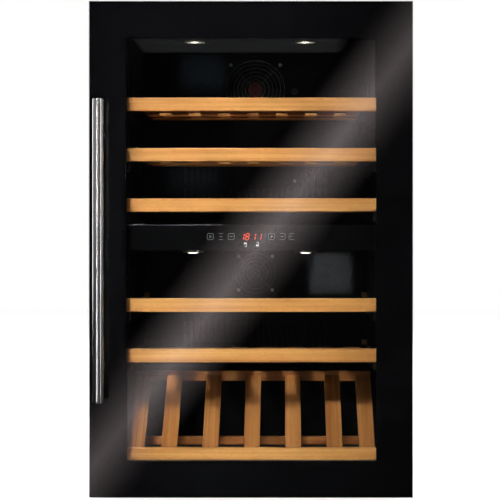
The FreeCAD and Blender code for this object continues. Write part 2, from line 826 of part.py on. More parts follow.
def make_shelf(number, height):
    """Beech front board, slatted deck on cross battens, and the moving runners under its sides."""
    board = new_body(f"shelf_{number}_front", 0, cabinet_front, height)
    pad(board, "XZ", 0, s.board_thickness, [
        rect(-half_board, half_board, -s.board_height / 2, s.board_height / 2)])
    fillet(board, s.board_round, lambda edge: runs_along(edge, 0))

    deck = new_body(f"shelf_{number}_deck", 0, board_back, height)
    slat_span = half_deck + s.batten_width / 2 - s.slat_width / 2
    slats = []
    for index in range(SHELF_SLATS):
        left = slat_span * ((2 * index + 1 - SHELF_SLATS) / (SHELF_SLATS - 1)) - s.slat_width / 2
        slats.append(rect(left, left + s.slat_width, slat_underside, -s.slat_drop))
    pad(deck, "XZ", 0, s.deck_depth, slats)
    battens = []
    for index in range(SHELF_BATTENS):
        front = s.batten_first + index * s.batten_pitch
        battens.append(rect(front, front + s.batten_width, slat_underside - s.batten_height, slat_underside))
    pad(deck, "YZ", -half_deck, 2 * half_deck, battens)

    runners = new_body(f"shelf_{number}_runners", 0, board_back, height)
    profiles = []
    for side in (-1, 1):
        profiles.append([
            (side * half_deck, slat_underside), (side * runner_outer, slat_underside),
            (side * runner_outer, slat_underside - s.runner_height),
            (side * runner_inner, slat_underside - s.runner_height),
            (side * runner_inner, slat_underside - s.runner_plate),
            (side * half_deck, slat_underside - s.runner_plate)])
    pad(runners, "XZ", 0, s.deck_depth, profiles)


def make_slide_rails():
    """Folded C-channels on the liner's side walls, one each side of every shelf."""
    rails = new_body("slide_rails", 0, board_back + s.rail_setback, 0)
    profiles = []
    for height in shelf_heights:
        top = height + slat_underside + s.rail_play
        low = height + slat_underside - s.runner_height - s.rail_play
        for side in (-1, 1):
            web = side * (half_clear - s.rail_sheet)
            lip = side * (half_clear - s.rail_lip)
            wall = side * half_clear
            profiles.append([
                (lip, low), (web, low), (web, top), (lip, top), (lip, top + s.rail_sheet),
                (wall, top + s.rail_sheet), (wall, low - s.rail_sheet), (lip, low - s.rail_sheet)])
    pad(rails, "XZ", 0, s.rail_length, profiles)


def make_display_rack():
    """Tilted slatted rack on the floor of the lower zone, in front of the step."""
    rack_y = cabinet_front
    frame = new_body("display_rack_frame", 0, rack_y, liner_floor)
    back = s.rack_board + s.rack_run
    rail_top = s.rack_high + s.rack_rail_height / 2 - s.rack_rail_set
    rail_low = rail_top - s.rack_rail_height
    side_height = s.rack_low - s.rack_slat_thickness
    pad(frame, "XZ", 0, s.rack_board, [rect(-half_board, half_board, 0, s.rack_front_height)])
    fillet(frame, s.board_round, lambda edge: runs_along(edge, 0))
    pad(frame, "XZ", back, s.rack_rail_thickness, [rect(-half_board, half_board, rail_low, rail_top)])
    for side in (-1, 1):
        outer = side * half_board
        inner = side * (half_board - s.rack_side_width)
        pad(frame, "XZ", s.rack_board, s.rack_run + s.rack_rail_thickness, [[
            (outer, 0), (inner, 0), (inner, side_height), (outer, side_height)]])
        pad(frame, "XZ", back, s.rack_rail_thickness, [[
            (outer, 0), (inner, 0), (inner, rail_low), (outer, rail_low)]])
    inside = half_board - s.rack_side_width
    pad(frame, "XZ", s.rack_rear_rail_depth, s.rack_rear_rail_thickness, [
        rect(-inside, inside, s.rack_rear_rail_low, s.rack_rear_rail_low + s.rack_rear_rail_height)])

    slats = new_body("display_rack_slats", 0, rack_y + s.rack_board, liner_floor)
    side_slat = half_board - s.rack_slat_width / 2
    inner_pitch = side_slat * s.rack_slat_pitch_share
    middles = [-side_slat, -2 * inner_pitch, -inner_pitch, as_size(0),
               inner_pitch, 2 * inner_pitch, side_slat]
    for middle in middles:
        pad(slats, "YZ", middle - s.rack_slat_width / 2, s.rack_slat_width, [[
            (0, s.rack_low - s.rack_slat_thickness), (s.rack_run, s.rack_high - s.rack_slat_thickness),
            (s.rack_run, s.rack_high), (0, s.rack_low)]])


# ---------------------------------------------------------------- air covers, fans and evaporators

def fan_bore(size):
    return size / 2 - s.fan_edge


def fan_screw_pitch(size):
    """105 mm on a 120 mm fan and 71.5 mm on an 80 mm fan."""
    return size * (FAN_SCREW_SHARE_BIG if size is s.fan_big else FAN_SCREW_SHARE_SMALL)


def fan_screw_places(size, x, z):
    """The standard square of four screws."""
    pitch = fan_screw_pitch(size)
    return [(x + i * pitch / 2, z + j * pitch / 2) for i in (-1, 1) for j in (-1, 1)]


def make_cover(label, low, high, fan_size, fan_z, slot_rows):
    """Shallow moulded pan over the evaporator, with a fan opening and rows of air slots."""
    cover = new_body(label, 0, cover_face, 0)
    half = half_clear - s.cover_play
    pad(cover, "XZ", 0, s.cover_rim, [rect(-half, half, low, high)])
    pocket(cover, "XZ", s.cover_sheet, s.cover_rim, [
        rect(s.cover_sheet - half, half - s.cover_sheet, low + s.cover_sheet, high - s.cover_sheet)])
    pocket(cover, "XZ", 0, s.cover_sheet, circles=[(0, fan_z, fan_bore(fan_size))])
    pocket(cover, "XZ", 0, s.cover_sheet, circles=[
        (x, z, s.fan_screw_radius + s.fan_screw_play) for x, z in fan_screw_places(fan_size, 0, fan_z)])
    for first, count, bottom, height in slot_rows:
        slot = pocket(cover, "XZ", 0, s.cover_sheet, [
            rect(first - s.slot_width / 2, first + s.slot_width / 2, bottom, bottom + height)])
        repeat_in_line(cover, slot, "H_Axis", count, s.slot_pitch)
    return cover


def make_covers():
    first = -(s.slot_pitch * (SLOTS_ACROSS - 1) / 2)
    right_first = -first - s.slot_pitch * (SLOTS_BESIDE_FAN - 1)
    full_row = fascia_top + s.upper_slots_rise
    split_row = full_row + s.slot_height + s.slot_row_gap
    make_cover("air_cover_upper", fascia_top + s.fascia_play, ceiling - s.cover_play, s.fan_big,
               upper_fan_z, [
                   (first, SLOTS_ACROSS, full_row, s.slot_height),
                   (first, SLOTS_BESIDE_FAN, split_row, s.slot_height),
                   (right_first, SLOTS_BESIDE_FAN, split_row, s.slot_height)])
    lower_row = step_top + s.lower_slots_rise
    short_row = lower_row - s.lower_slots_height - s.slot_row_gap / 2
    make_cover("air_cover_lower", step_top + s.cover_play, fascia_bottom - s.fascia_play, s.fan_small,
               lower_fan_z, [
                   (first, SLOTS_ACROSS, lower_row, s.slot_height),
                   (first, SLOTS_ACROSS, short_row, s.lower_slots_height)])


def make_fan(name, size, x, y, z, turn, hub_share, chord_share):
    """Square housing with a motor on rear arms, and its bladed rotor, both along their own Y axis."""
    bore = fan_bore(size)
    hub = size * hub_share
    chord = size * chord_share
    blade_tip = bore - s.blade_tip_gap
    motor_front = s.fan_depth - s.fan_motor_depth
    housing = new_body(name + "_housing", x, y, z, node=False)
    pad(housing, "XZ", 0, s.fan_depth, [rect(-size / 2, size / 2, -size / 2, size / 2)], [(0, 0, bore)])
    fillet(housing, s.fan_edge * 2, lambda edge: runs_along(edge, 1))
    arm = pad(housing, "XZ", s.fan_depth - s.fan_arm_depth, s.fan_arm_depth, [
        rect(-s.fan_arm_width / 2, s.fan_arm_width / 2, hub - s.fan_arm_root, bore + s.fan_arm_root)])
    repeat_around(housing, arm, FAN_ARMS)
    pad(housing, "XZ", motor_front, s.fan_motor_depth, circles=[(0, 0, hub)])
    pad(housing, "XZ", s.fan_shaft_front, motor_front - s.fan_shaft_front,
        circles=[(0, 0, s.fan_shaft_radius)])
    pocket(housing, "XZ", 0, s.fan_depth, circles=[
        (hole_x, hole_z, s.fan_screw_radius + s.fan_screw_play)
        for hole_x, hole_z in fan_screw_places(size, as_size(0), as_size(0))])

    rotor = new_body(name + "_rotor", x, y, z)
    rotor_back = motor_front - s.fan_running_gap
    pad(rotor, "XZ", s.fan_hub_front, rotor_back - s.fan_hub_front, circles=[(0, 0, hub)])
    blade = pad(rotor, "XY", hub - s.blade_root, blade_tip - hub + s.blade_root, [[
        (-chord / 2, s.blade_front), (s.blade_sheet - chord / 2, s.blade_front),
        (chord / 2, s.blade_back), (chord / 2 - s.blade_sheet, s.blade_back)]])
    repeat_around(rotor, blade, FAN_BLADES)
    pocket(rotor, "XZ", s.fan_socket_front, rotor_back - s.fan_socket_front,
           circles=[(0, 0, s.fan_shaft_radius + s.fan_shaft_play)])
    for part in (housing, rotor):
        part.Placement = FreeCAD.Placement(FreeCAD.Vector(), FreeCAD.Rotation(FreeCAD.Vector(0, 0, 1), turn))
        place(part, x, y, z)
    return housing


def make_guard(name, size, z, rings):
    """Wire fan guard: rings welded on four diagonal wires that end in screw eyes."""
    wire = s.guard_wire
    arm_y = cover_face - wire - s.guard_gap
    ring_y = arm_y - wire * 1.3
    reach = fan_screw_pitch(size) / 2 * math.sqrt(2)
    eye = s.fan_screw_radius + wire + s.guard_eye_play
    members = []
    for index in range(rings):
        ring = doc.addObject("Part::Torus", f"{name}_ring_{index}")
        bind(ring, "Radius1", fan_bore(size) + s.guard_overlap - index * s.guard_ring_pitch)
        bind(ring, "Radius2", wire)
        ring.Placement = FreeCAD.Placement(FreeCAD.Vector(), FreeCAD.Rotation(FreeCAD.Vector(1, 0, 0), 90))
        place(ring, 0, ring_y, z)
        members.append(ring)
    for index in range(FAN_ARMS):
        angle = math.radians(45 + 90 * index)
        along_x, along_z = math.cos(angle), math.sin(angle)
        arm = doc.addObject("Part::Cylinder", f"{name}_arm_{index}")
        bind(arm, "Radius", wire)
        bind(arm, "Height", reach - eye + s.guard_wire / 2)
        arm.Placement = FreeCAD.Placement(
            FreeCAD.Vector(), FreeCAD.Rotation(FreeCAD.Vector(0, 0, 1), FreeCAD.Vector(along_x, 0, along_z)))
        place(arm, 0, arm_y, z)
        members.append(arm)
        lug = doc.addObject("Part::Torus", f"{name}_eye_{index}")
        bind(lug, "Radius1", eye)
        bind(lug, "Radius2", wire)
        lug.Placement = FreeCAD.Placement(FreeCAD.Vector(), FreeCAD.Rotation(FreeCAD.Vector(1, 0, 0), 90))
        place(lug, reach * along_x, arm_y, z + reach * along_z)
        members.append(lug)
    guard = doc.addObject("Part::MultiFuse", name)
    guard.Shapes = members
    return guard


def make_evaporators():
    """Two roll-bond aluminium plates with a raised channel, one behind each air cover."""
    plates = []
    upper_high = upper_fan_z - s.fan_big / 2 - s.evaporator_drop
    lower_high = lower_fan_z - s.fan_small / 2 - s.evaporator_drop
    for name, low, high in (("evaporator_upper", fascia_top + s.evaporator_rise, upper_high),
                            ("evaporator_lower", step_top + s.evaporator_foot, lower_high)):
        plate = new_body(name, 0, cover_face + s.cover_rim + s.evaporator_gap, 0, node=False)
        half = half_clear - s.evaporator_margin
        pad(plate, "XZ", 0, s.evaporator_sheet, [rect(-half, half, low, high)])
        channel = pad(plate, "XZ", -s.evaporator_channel / 3, s.evaporator_channel / 3, [
            rect(s.channel_inset - half, half - s.channel_inset,
                 low + s.channel_end, low + s.channel_end + s.evaporator_channel)])
        count = int((high - low).value / SIZES["channel_spacing"])
        pitch = (high - low - s.channel_end * 2 - s.evaporator_channel) / (count - 1)
        repeat_in_line(plate, channel, "V_Axis", count, pitch)
        plates.append(plate)
    group("evaporators", plates)


def make_fans():
    back_of_cover = cover_face + s.cover_sheet
    fan_y = machine_y
    fan_z = tray_top + s.fan_big / 2 + 1
    fan_x = s.condenser_inset + s.condenser_width + s.fan_to_condenser - half_shell
    housings = [
        make_fan("fan_upper", s.fan_big, 0, back_of_cover, upper_fan_z, 0, 0.16, 0.21),
        make_fan("fan_lower", s.fan_small, 0, back_of_cover, lower_fan_z, 0, 0.18, 0.2),
        make_fan("condenser_fan", s.fan_big, fan_x, fan_y, fan_z, -90, 0.16, 0.21)]
    group("fan_housings", housings)
    guards = [make_guard("guard_upper", s.fan_big, upper_fan_z, GUARD_RINGS_BIG),
              make_guard("guard_lower", s.fan_small, lower_fan_z, GUARD_RINGS_SMALL)]
    group("fan_guards", guards)


def make_sensors():
    """Air temperature probes in the two covers, each a small domed cap."""
    sensors = new_body("temperature_sensors", 0, cover_face, 0)
    lower_z = lower_fan_z - s.fan_small / 2 - s.small_sensor_drop
    for x, z, radius in ((s.sensor_x, upper_fan_z - s.sensor_drop, s.sensor_radius),
                         (s.sensor_x / 2, lower_z, s.sensor_radius / 2)):
        pad(sensors, "XZ", -s.sensor_height, s.sensor_height, circles=[(x, z, radius)])


# ---------------------------------------------------------------- machine compartment

def make_compressor():
    """Welded steel pot on a foot plate, on four rubber mounts, with a tray on top for defrost water."""
    mounts = new_body("compressor_mounts", s.compressor_x, machine_y, tray_top)
    corners = [(i * (s.compressor_plate_length / 2 - s.grommet_radius),
                j * (s.compressor_plate_width / 2 - s.grommet_radius)) for i in (-1, 1) for j in (-1, 1)]
    pad(mounts, "XY", 0, s.grommet_height, circles=[(x, y, s.grommet_radius) for x, y in corners])

    pot = new_body("compressor", s.compressor_x, machine_y, tray_top + s.grommet_height)
    top = s.compressor_plate + s.compressor_height
    pad(pot, "XY", s.compressor_plate, s.compressor_height, circles=[(0, 0, s.compressor_radius)])
    fillet(pot, s.compressor_dome, lambda edge: abs(edge.CenterOfMass.z - top.value) < 1e-3)
    pad(pot, "XY", s.compressor_plate + s.compressor_seam_rise, s.compressor_seam,
        circles=[(0, 0, s.compressor_radius + s.compressor_seam)])
    half_length = s.compressor_plate_length / 2
    half_width = s.compressor_plate_width / 2
    pad(pot, "XY", 0, s.compressor_plate, [rect(-half_length, half_length, -half_width, half_width)])
    pad(pot, "XZ", -s.compressor_radius - s.terminal_reach, s.compressor_radius, [
        rect(-s.terminal_half_width, s.terminal_half_width, s.terminal_low, s.terminal_high)])

    tray = new_body("drip_tray", s.compressor_x, machine_y, tray_top + s.grommet_height + top)
    half_length = s.drip_tray_length / 2
    half_width = s.drip_tray_width / 2
    wall = s.drip_tray_wall
    pad(tray, "XY", 0, s.drip_tray_height, [rect(-half_length, half_length, -half_width, half_width)])
    fillet(tray, s.drip_tray_height / 3, lambda edge: runs_along(edge, 2))
    pocket(tray, "XY", wall, s.drip_tray_height, [
        rect(s.drip_tray_rim - half_length, half_length - s.drip_tray_rim,
             s.drip_tray_rim - half_width, half_width - s.drip_tray_rim)])


def make_condenser():
    """Finned coil at the left of the compartment, standing on its two end plates."""
    left = s.condenser_inset - half_shell
    right = left + s.condenser_width
    low = tray_top + s.coil_radius * 3
    high = low + s.condenser_height
    start = machine_y - s.condenser_length / 2
    coil = new_body("condenser", 0, start, 0)
    fin = pad(coil, "XZ", s.fin_pitch / 2, s.fin_thickness, [rect(left, right, low, high)])
    planes = {feature.Role: feature for feature in coil.Origin.OriginFeatures}
    row = coil.newObject("PartDesign::LinearPattern", "condenser_fins")
    row.Originals = [fin]
    row.Direction = (planes["Y_Axis"], [""])
    bind(row, "Length", (s.condenser_length - s.fin_pitch - s.fin_thickness))
    row.Occurrences = CONDENSER_FINS
    coil.Tip = row
    tubes = [(left + s.condenser_width * (2 * column + 1) / (2 * COIL_COLUMNS),
              low + s.condenser_height * (2 * level + 1) / (2 * COIL_LEVELS), s.coil_radius)
             for column in range(COIL_COLUMNS) for level in range(COIL_LEVELS)]
    pad(coil, "XZ", 0, s.condenser_length, circles=tubes)
    for y in (as_size(0), s.condenser_length - s.frame_steel):
        pad(coil, "XZ", y, s.frame_steel, [rect(left, right, tray_top, high)])


def pipe_along(points, bend, radius):
    """Round tube along straight runs that are joined by tangent arcs of one radius."""
    edges = []
    start = points[0]
    for before, corner, after in zip(points, points[1:], points[2:]):
        inward = (before - corner).normalize()
        outward = (after - corner).normalize()
        half_turn = (math.pi - inward.getAngle(outward)) / 2
        trim = bend * math.tan(half_turn)
        arc_start = corner + inward * trim
        arc_end = corner + outward * trim
        middle = (inward + outward).normalize()
        arc_middle = corner + middle * (bend / math.cos(half_turn) - bend)
        edges.append(Part.LineSegment(start, arc_start).toShape())
        edges.append(Part.Arc(arc_start, arc_middle, arc_end).toShape())
        start = arc_end
    edges.append(Part.LineSegment(start, points[-1]).toShape())
    direction = (points[1] - points[0]).normalize()
    profile = Part.Wire(Part.Circle(points[0], direction, radius).toShape())
    return Part.Wire(edges).makePipeShell([profile], True, False)


def make_refrigerant_line():
    """Discharge, liquid and suction tubes with the filter drier, from compressor and condenser upwards."""
    vector = FreeCAD.Vector
    tube = s.pipe_radius.value
    bend = tube * 4
    coil_x = (s.condenser_inset + s.condenser_width * 0.25 - half_shell).value
    low = (tray_top + s.coil_radius * 3).value
    coil_low = low + s.condenser_height.value * 0.3
    coil_high = low + s.condenser_height.value * 0.9
    coil_front = (machine_y - s.condenser_length / 2).value
    pot_x = s.compressor_x.value
    pot_front = (machine_y - s.compressor_radius).value
    pot_low = (tray_top + s.grommet_height + s.compressor_height * 0.3).value
    lane = compartment_front.value + tube * 3
    roof = compartment_roof.value
    discharge_x = pot_x - s.discharge_offset.value
    suction_x = pot_x + s.suction_offset.value
    sink = s.pipe_sink.value
    discharge = pipe_along([
        vector(discharge_x, pot_front + sink, pot_low), vector(discharge_x, lane, pot_low),
        vector(coil_x, lane, coil_low), vector(coil_x, coil_front, coil_low)], bend, tube)
    drier_x = (pot_x + coil_x) / 2
    liquid_x = drier_x + s.liquid_offset.value
    liquid = pipe_along([
        vector(coil_x, coil_front, coil_high), vector(coil_x, lane, coil_high),
        vector(liquid_x, lane, coil_high), vector(liquid_x, lane, roof)], bend, tube)
    drier = Part.makeCylinder(
        s.drier_radius.value, s.drier_length.value, vector(drier_x - s.drier_length.value, lane, coil_high),
        vector(1, 0, 0))
    suction = pipe_along([
        vector(suction_x, pot_front + sink, pot_low), vector(suction_x, lane, pot_low),
        vector(suction_x, lane, roof)], bend, tube * SUCTION_TUBE_SHARE)
    line = doc.addObject("Part::Feature", "refrigerant_line")
    line.Label = "refrigerant_line"
    line.Shape = Part.makeCompound([discharge, liquid.fuse(drier), suction])
    line.Placement = FreeCAD.Placement()
    nodes.append(line)


def make_power():
    """Main board box at the right of the compartment, the appliance inlet and the louvred rear grille."""
    right = half_shell - s.power_box_inset
    box = new_body("power_box", right - s.power_box_width, machine_y - s.power_box_length / 2, tray_top)
    pad(box, "XY", 0, s.power_box_height, [rect(0, s.power_box_width, 0, s.power_box_length)])
    fillet(box, s.power_box_wall, lambda edge: edge.CenterOfMass.z > 1)
    wall = s.power_box_wall
    pocket(box, "XY", 0, s.power_box_height - wall, [
        rect(wall, s.power_box_width - wall, wall, s.power_box_length - wall)])

    inlet = new_body("power_inlet", s.inlet_x, grille_face, s.inlet_rise)
    half_width = s.inlet_width / 2
    half_height = s.inlet_height / 2
    pad(inlet, "XZ", -s.inlet_length, s.inlet_length, [
        rect(-half_width, half_width, -half_height, half_height)])
    pad(inlet, "XZ", 0, s.grille_recess, [
        rect(-half_width - s.inlet_flange_side, half_width + s.inlet_flange_side,
             -half_height - s.inlet_flange_top, half_height + s.inlet_flange_top)])
    pocket(inlet, "XZ", s.inlet_wall * 2 - s.inlet_length, s.inlet_length + s.grille_recess, [
        rect(s.inlet_wall - half_width, half_width - s.inlet_wall,
             s.inlet_wall - half_height, half_height - s.inlet_wall)])
    pin_half = s.inlet_pin_height / 2
    side_half = s.inlet_pin_width / 2
    pad(inlet, "XZ", s.inlet_wall * 2 - s.inlet_length, s.inlet_pin_length, [
        rect(column * s.inlet_pin_pitch - side_half, column * s.inlet_pin_pitch + side_half,
             row * pin_half - pin_half, row * pin_half + pin_half)
        for column, row in ((-1, -1), (0, 1), (1, -1))])

    grille = new_body("rear_grille", 0, grille_face - s.grille_steel, 0)
    half = half_shell - s.grille_play
    pad(grille, "XZ", 0, s.grille_steel, [
        rect(-half, half, cabinet_bottom, compartment_roof - s.grille_play)])
    pocket(grille, "XZ", 0, s.grille_steel, [
        rect(s.inlet_x - half_width, s.inlet_x + half_width,
             s.inlet_rise - half_height, s.inlet_rise + half_height)])
    column_pitch = s.louvre_width + s.louvre_gap
    columns = [column_pitch * (index - LOUVRE_COLUMNS / 2) - s.louvre_width / 2
               for index in range(LOUVRE_COLUMNS)]
    louvre_low = tray_top + s.louvre_rise
    louvres = pocket(grille, "XZ", 0, s.grille_steel, [
        rect(left, left + s.louvre_width, louvre_low, louvre_low + s.louvre_height) for left in columns])
    repeat_in_line(grille, louvres, "V_Axis", COMPARTMENT_LOUVRES, s.louvre_pitch)


def make_fasteners():
    """All the screws that show: fan screws, a cover screw, hinge screws and grille screws."""
    screws = new_body("fasteners")

    def screw_y(places, seat, radius, length, way):
        """Screws along Y whose heads seat at y = seat; way 1 drives them towards the back."""
        head_low = seat - s.screw_head if way > 0 else seat
        shank_low = seat if way > 0 else seat - length
        pad(screws, "XZ", head_low, s.screw_head, circles=[(x, z, s.screw_head_radius) for x, z in places])
        pad(screws, "XZ", shank_low, length, circles=[(x, z, radius) for x, z in places])

    fan_places = fan_screw_places(s.fan_big, as_size(0), upper_fan_z)
    fan_places += fan_screw_places(s.fan_small, as_size(0), lower_fan_z)
    screw_y(fan_places, cover_face - s.guard_wire * 2 - s.guard_gap, s.fan_screw_radius, s.fan_depth, 1)
    split_row = fascia_top + s.upper_slots_rise + s.slot_height + s.slot_row_gap
    screw_y([(s.sensor_x, split_row + s.cover_sheet)], cover_face, s.screw_radius, s.screw_length, 1)
    grille_x = half_shell - s.grille_screw_inset
    screw_y([(side * grille_x, z) for side in (-1, 1)
             for z in (cabinet_bottom + s.grille_screw_inset, compartment_roof - s.grille_screw_inset)],
            grille_face, s.screw_radius, s.screw_length, -1)
    hinge_x = half_shell - s.hinge_seat_width / 2
    hinge_places = [(hinge_x, cabinet_front + s.hinge_seat_depth * share) for share in HINGE_SCREW_SHARES]
    for head_low, shank_low in ((cabinet_top + s.hinge_plate, cabinet_top + s.hinge_plate - s.screw_length),
                                (cabinet_bottom - s.hinge_plate - s.screw_head,
                                 cabinet_bottom - s.hinge_plate)):
        pad(screws, "XY", head_low, s.screw_head, circles=[
            (x, y, s.screw_head_radius) for x, y in hinge_places])
        pad(screws, "XY", shank_low, s.screw_length, circles=[
            (x, y, s.screw_radius) for x, y in hinge_places])


# ---------------------------------------------------------------- build, check and write

def main():
    make_door_glass()
    make_door_frame()
    make_gasket()
    make_handle()
    make_shell()
    make_base()
    make_hinges()
    make_divider()
    make_lamps()
    for number, height in enumerate(shelf_heights, start=1):
        make_shelf(number, height)
    make_slide_rails()
    make_display_rack()
    make_covers()
    make_fans()
    make_evaporators()
    make_sensors()
    make_compressor()
    make_condenser()
    make_refrigerant_line()
    make_power()
    make_fasteners()
    doc.recompute()

    for thing in doc.Objects:
        if "Invalid" in thing.State or "Error" in thing.State:
            raise RuntimeError(f"{thing.Label} failed: {thing.State}")
    for node in nodes:
        shape = node.Shape
        if shape.isNull() or not shape.isValid() or not shape.Solids:
            raise RuntimeError(f"{node.Label} has no valid solid")
    os.makedirs("parts", exist_ok=True)
    for node in nodes:
        node.Shape.exportStep(f"parts/{node.Label}.step")
        print(f"{node.Label}: {len(node.Shape.Solids)} solids, {node.Shape.Volume / 1000:.1f} cm3")
    print(len(nodes), "nodes")


main()
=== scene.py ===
import math

import bmesh
import bpy
from mathutils import Matrix, Vector


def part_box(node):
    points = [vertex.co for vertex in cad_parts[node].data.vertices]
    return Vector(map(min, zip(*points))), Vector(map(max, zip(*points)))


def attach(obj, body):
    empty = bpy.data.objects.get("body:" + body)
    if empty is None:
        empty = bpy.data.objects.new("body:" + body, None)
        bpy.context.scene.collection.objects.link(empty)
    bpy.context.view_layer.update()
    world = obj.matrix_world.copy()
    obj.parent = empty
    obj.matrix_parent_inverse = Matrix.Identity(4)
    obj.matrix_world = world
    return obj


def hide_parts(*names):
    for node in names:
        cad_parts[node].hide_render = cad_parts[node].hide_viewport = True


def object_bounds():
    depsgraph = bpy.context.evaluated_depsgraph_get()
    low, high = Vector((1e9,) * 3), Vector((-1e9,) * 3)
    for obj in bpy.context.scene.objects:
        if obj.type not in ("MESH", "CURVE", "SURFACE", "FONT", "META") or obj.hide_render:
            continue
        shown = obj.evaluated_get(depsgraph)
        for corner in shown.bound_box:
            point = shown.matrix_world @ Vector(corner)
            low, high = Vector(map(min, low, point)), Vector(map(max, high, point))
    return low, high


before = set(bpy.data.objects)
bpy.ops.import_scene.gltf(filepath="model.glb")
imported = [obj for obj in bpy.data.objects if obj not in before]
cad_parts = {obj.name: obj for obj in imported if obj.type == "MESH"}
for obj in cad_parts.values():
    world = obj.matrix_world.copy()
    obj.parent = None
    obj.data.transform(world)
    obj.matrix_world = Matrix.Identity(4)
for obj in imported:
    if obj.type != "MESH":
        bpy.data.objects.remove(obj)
cad_low, cad_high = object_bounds()

# ---- Cabinet shell -------------------------------------------------------------------------
# Outer wrapper and front frame are folded 0.8 mm steel, powder coated black with a fine orange
# peel. The back panel, base tray and grille are plain galvanised sheet, screwed and riveted on,
# and the gap to the liner is filled with poured polyurethane foam.


def shader(name, colour, roughness, metallic=0.0):
    """A material, its node tree, its Principled node and the piece's own coordinates."""
    material = bpy.data.materials.new(name)
    material.use_nodes = True
    tree = material.node_tree
    principled = tree.nodes["Principled BSDF"]
    principled.inputs["Base Color"].default_value = (*colour, 1)
    principled.inputs["Roughness"].default_value = roughness
    principled.inputs["Metallic"].default_value = metallic
    return material, tree, principled, tree.nodes.new("ShaderNodeTexCoord").outputs["Object"]


def stretched_noise(tree, coords, scale, detail=3.0):
    """Noise with its own scale on each axis."""
    mapping = tree.nodes.new("ShaderNodeMapping")
    mapping.inputs["Scale"].default_value = scale
    noise = tree.nodes.new("ShaderNodeTexNoise")
    noise.inputs["Scale"].default_value = 1.0
    noise.inputs["Detail"].default_value = detail
    tree.links.new(coords, mapping.inputs["Vector"])
    tree.links.new(mapping.outputs["Vector"], noise.inputs["Vector"])
    return noise.outputs["Fac"]


def spread(tree, value, low, high, start=0.3, end=0.7):
    """The value's middle part spread over low to high."""
    node = tree.nodes.new("ShaderNodeMapRange")
    node.inputs["From Min"].default_value = start
    node.inputs["From Max"].default_value = end
    node.inputs["To Min"].default_value = low
    node.inputs["To Max"].default_value = high
    tree.links.new(value, node.inputs["Value"])
    return node.outputs["Result"]


def two_tone(tree, share, first, second):
    """Colour between two tones."""
    node = tree.nodes.new("ShaderNodeMix")
    node.data_type = "RGBA"
    node.inputs["A"].default_value = (*first, 1)
    node.inputs["B"].default_value = (*second, 1)
    tree.links.new(share, node.inputs["Factor"])
    return node.outputs["Result"]


def relief(tree, principled, height, depth):
    """Fine relief of a real depth in metres."""
    bump = tree.nodes.new("ShaderNodeBump")
    bump.inputs["Strength"].default_value = 1.0
    bump.inputs["Distance"].default_value = depth
    tree.links.new(height, bump.inputs["Height"])
    tree.links.new(bump.outputs["Normal"], principled.inputs["Normal"])


def surface(name, colour, roughness, metallic=0.0, grain=(90, 90, 90), tone=0.15, depth=0.0):
    """Uneven tone and sheen along the grain, with a fine relief where depth is given."""
    sheen = 0.08
    material, tree, principled, coords = shader(name, colour, roughness, metallic)
    coarse = stretched_noise(tree, coords, grain)
    fine = stretched_noise(tree, coords, [6 * g for g in grain], 2.0)
    darker = [c * (1 - tone) for c in colour]
    lighter = [min(1.0, c * (1 + tone)) for c in colour]
    tree.links.new(two_tone(tree, spread(tree, coarse, 0, 1), darker, lighter),
                   principled.inputs["Base Color"])
    tree.links.new(spread(tree, fine, roughness - sheen, roughness + sheen),
                   principled.inputs["Roughness"])
    if depth:
        relief(tree, principled, fine, depth)
    return material


def dress(material, *nodes):
    """Gives carried-over pieces their finish."""
    for node in nodes:
        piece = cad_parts[node]
        for index in range(len(piece.data.materials)):
            piece.data.materials[index] = material


powder_black = surface("powder_black", (0.018, 0.018, 0.019), 0.42, grain=(30, 30, 30), depth=0.00002)
powder_black.node_tree.nodes["Principled BSDF"].inputs["Specular IOR Level"].default_value = 0.3
dress(powder_black, "outer_wrapper", "front_frame")

SPANGLES_PER_METRE = 95
galvanised, tree, principled, coords = shader("galvanised_sheet", (0.5, 0.51, 0.52), 0.42, 0.75)
spangle = tree.nodes.new("ShaderNodeTexVoronoi")
spangle.inputs["Scale"].default_value = SPANGLES_PER_METRE
tree.links.new(coords, spangle.inputs["Vector"])
tree.links.new(two_tone(tree, spread(tree, spangle.outputs["Color"], 0, 1, 0.0, 1.0),
                        (0.47, 0.48, 0.49), (0.55, 0.56, 0.57)), principled.inputs["Base Color"])
tree.links.new(spread(tree, spangle.outputs["Color"], 0.38, 0.5, 0.0, 1.0), principled.inputs["Roughness"])
dress(galvanised, "rear_panel", "base_tray", "rear_grille")
dress(surface("poured_foam", (0.72, 0.62, 0.36), 0.85, grain=(160, 160, 160), tone=0.2, depth=0.0004),
      "insulation_foam")

# ---- Inner liner ---------------------------------------------------------------------------
# One vacuum-formed ABS shell in satin black, with the compressor step formed in its back. Three
# shallow vertical ribs on each side wall carry the shelf rails and stiffen the sheet.
liner_black, tree, principled, coords = shader("liner_abs", (0.0035, 0.0035, 0.004), 0.5)
principled.inputs["Specular IOR Level"].default_value = 0.15
orange_peel = stretched_noise(tree, coords, (420, 420, 420), 2.0)
tree.links.new(spread(tree, orange_peel, 0.44, 0.58), principled.inputs["Roughness"])
relief(tree, principled, orange_peel, 0.00003)
dress(liner_black, "inner_liner")

# The foamed divider between the two zones has a dull black skin.
divider_black = surface("divider_abs", (0.004, 0.004, 0.0045), 0.8, grain=(160, 160, 160))
divider_black.node_tree.nodes["Principled BSDF"].inputs["Specular IOR Level"].default_value = 0.0
dress(divider_black, "zone_divider")

INTEGER, NUMBER, VECTOR, MATERIAL = (
    "NodeSocketInt", "NodeSocketFloat", "NodeSocketVector", "NodeSocketMaterial")


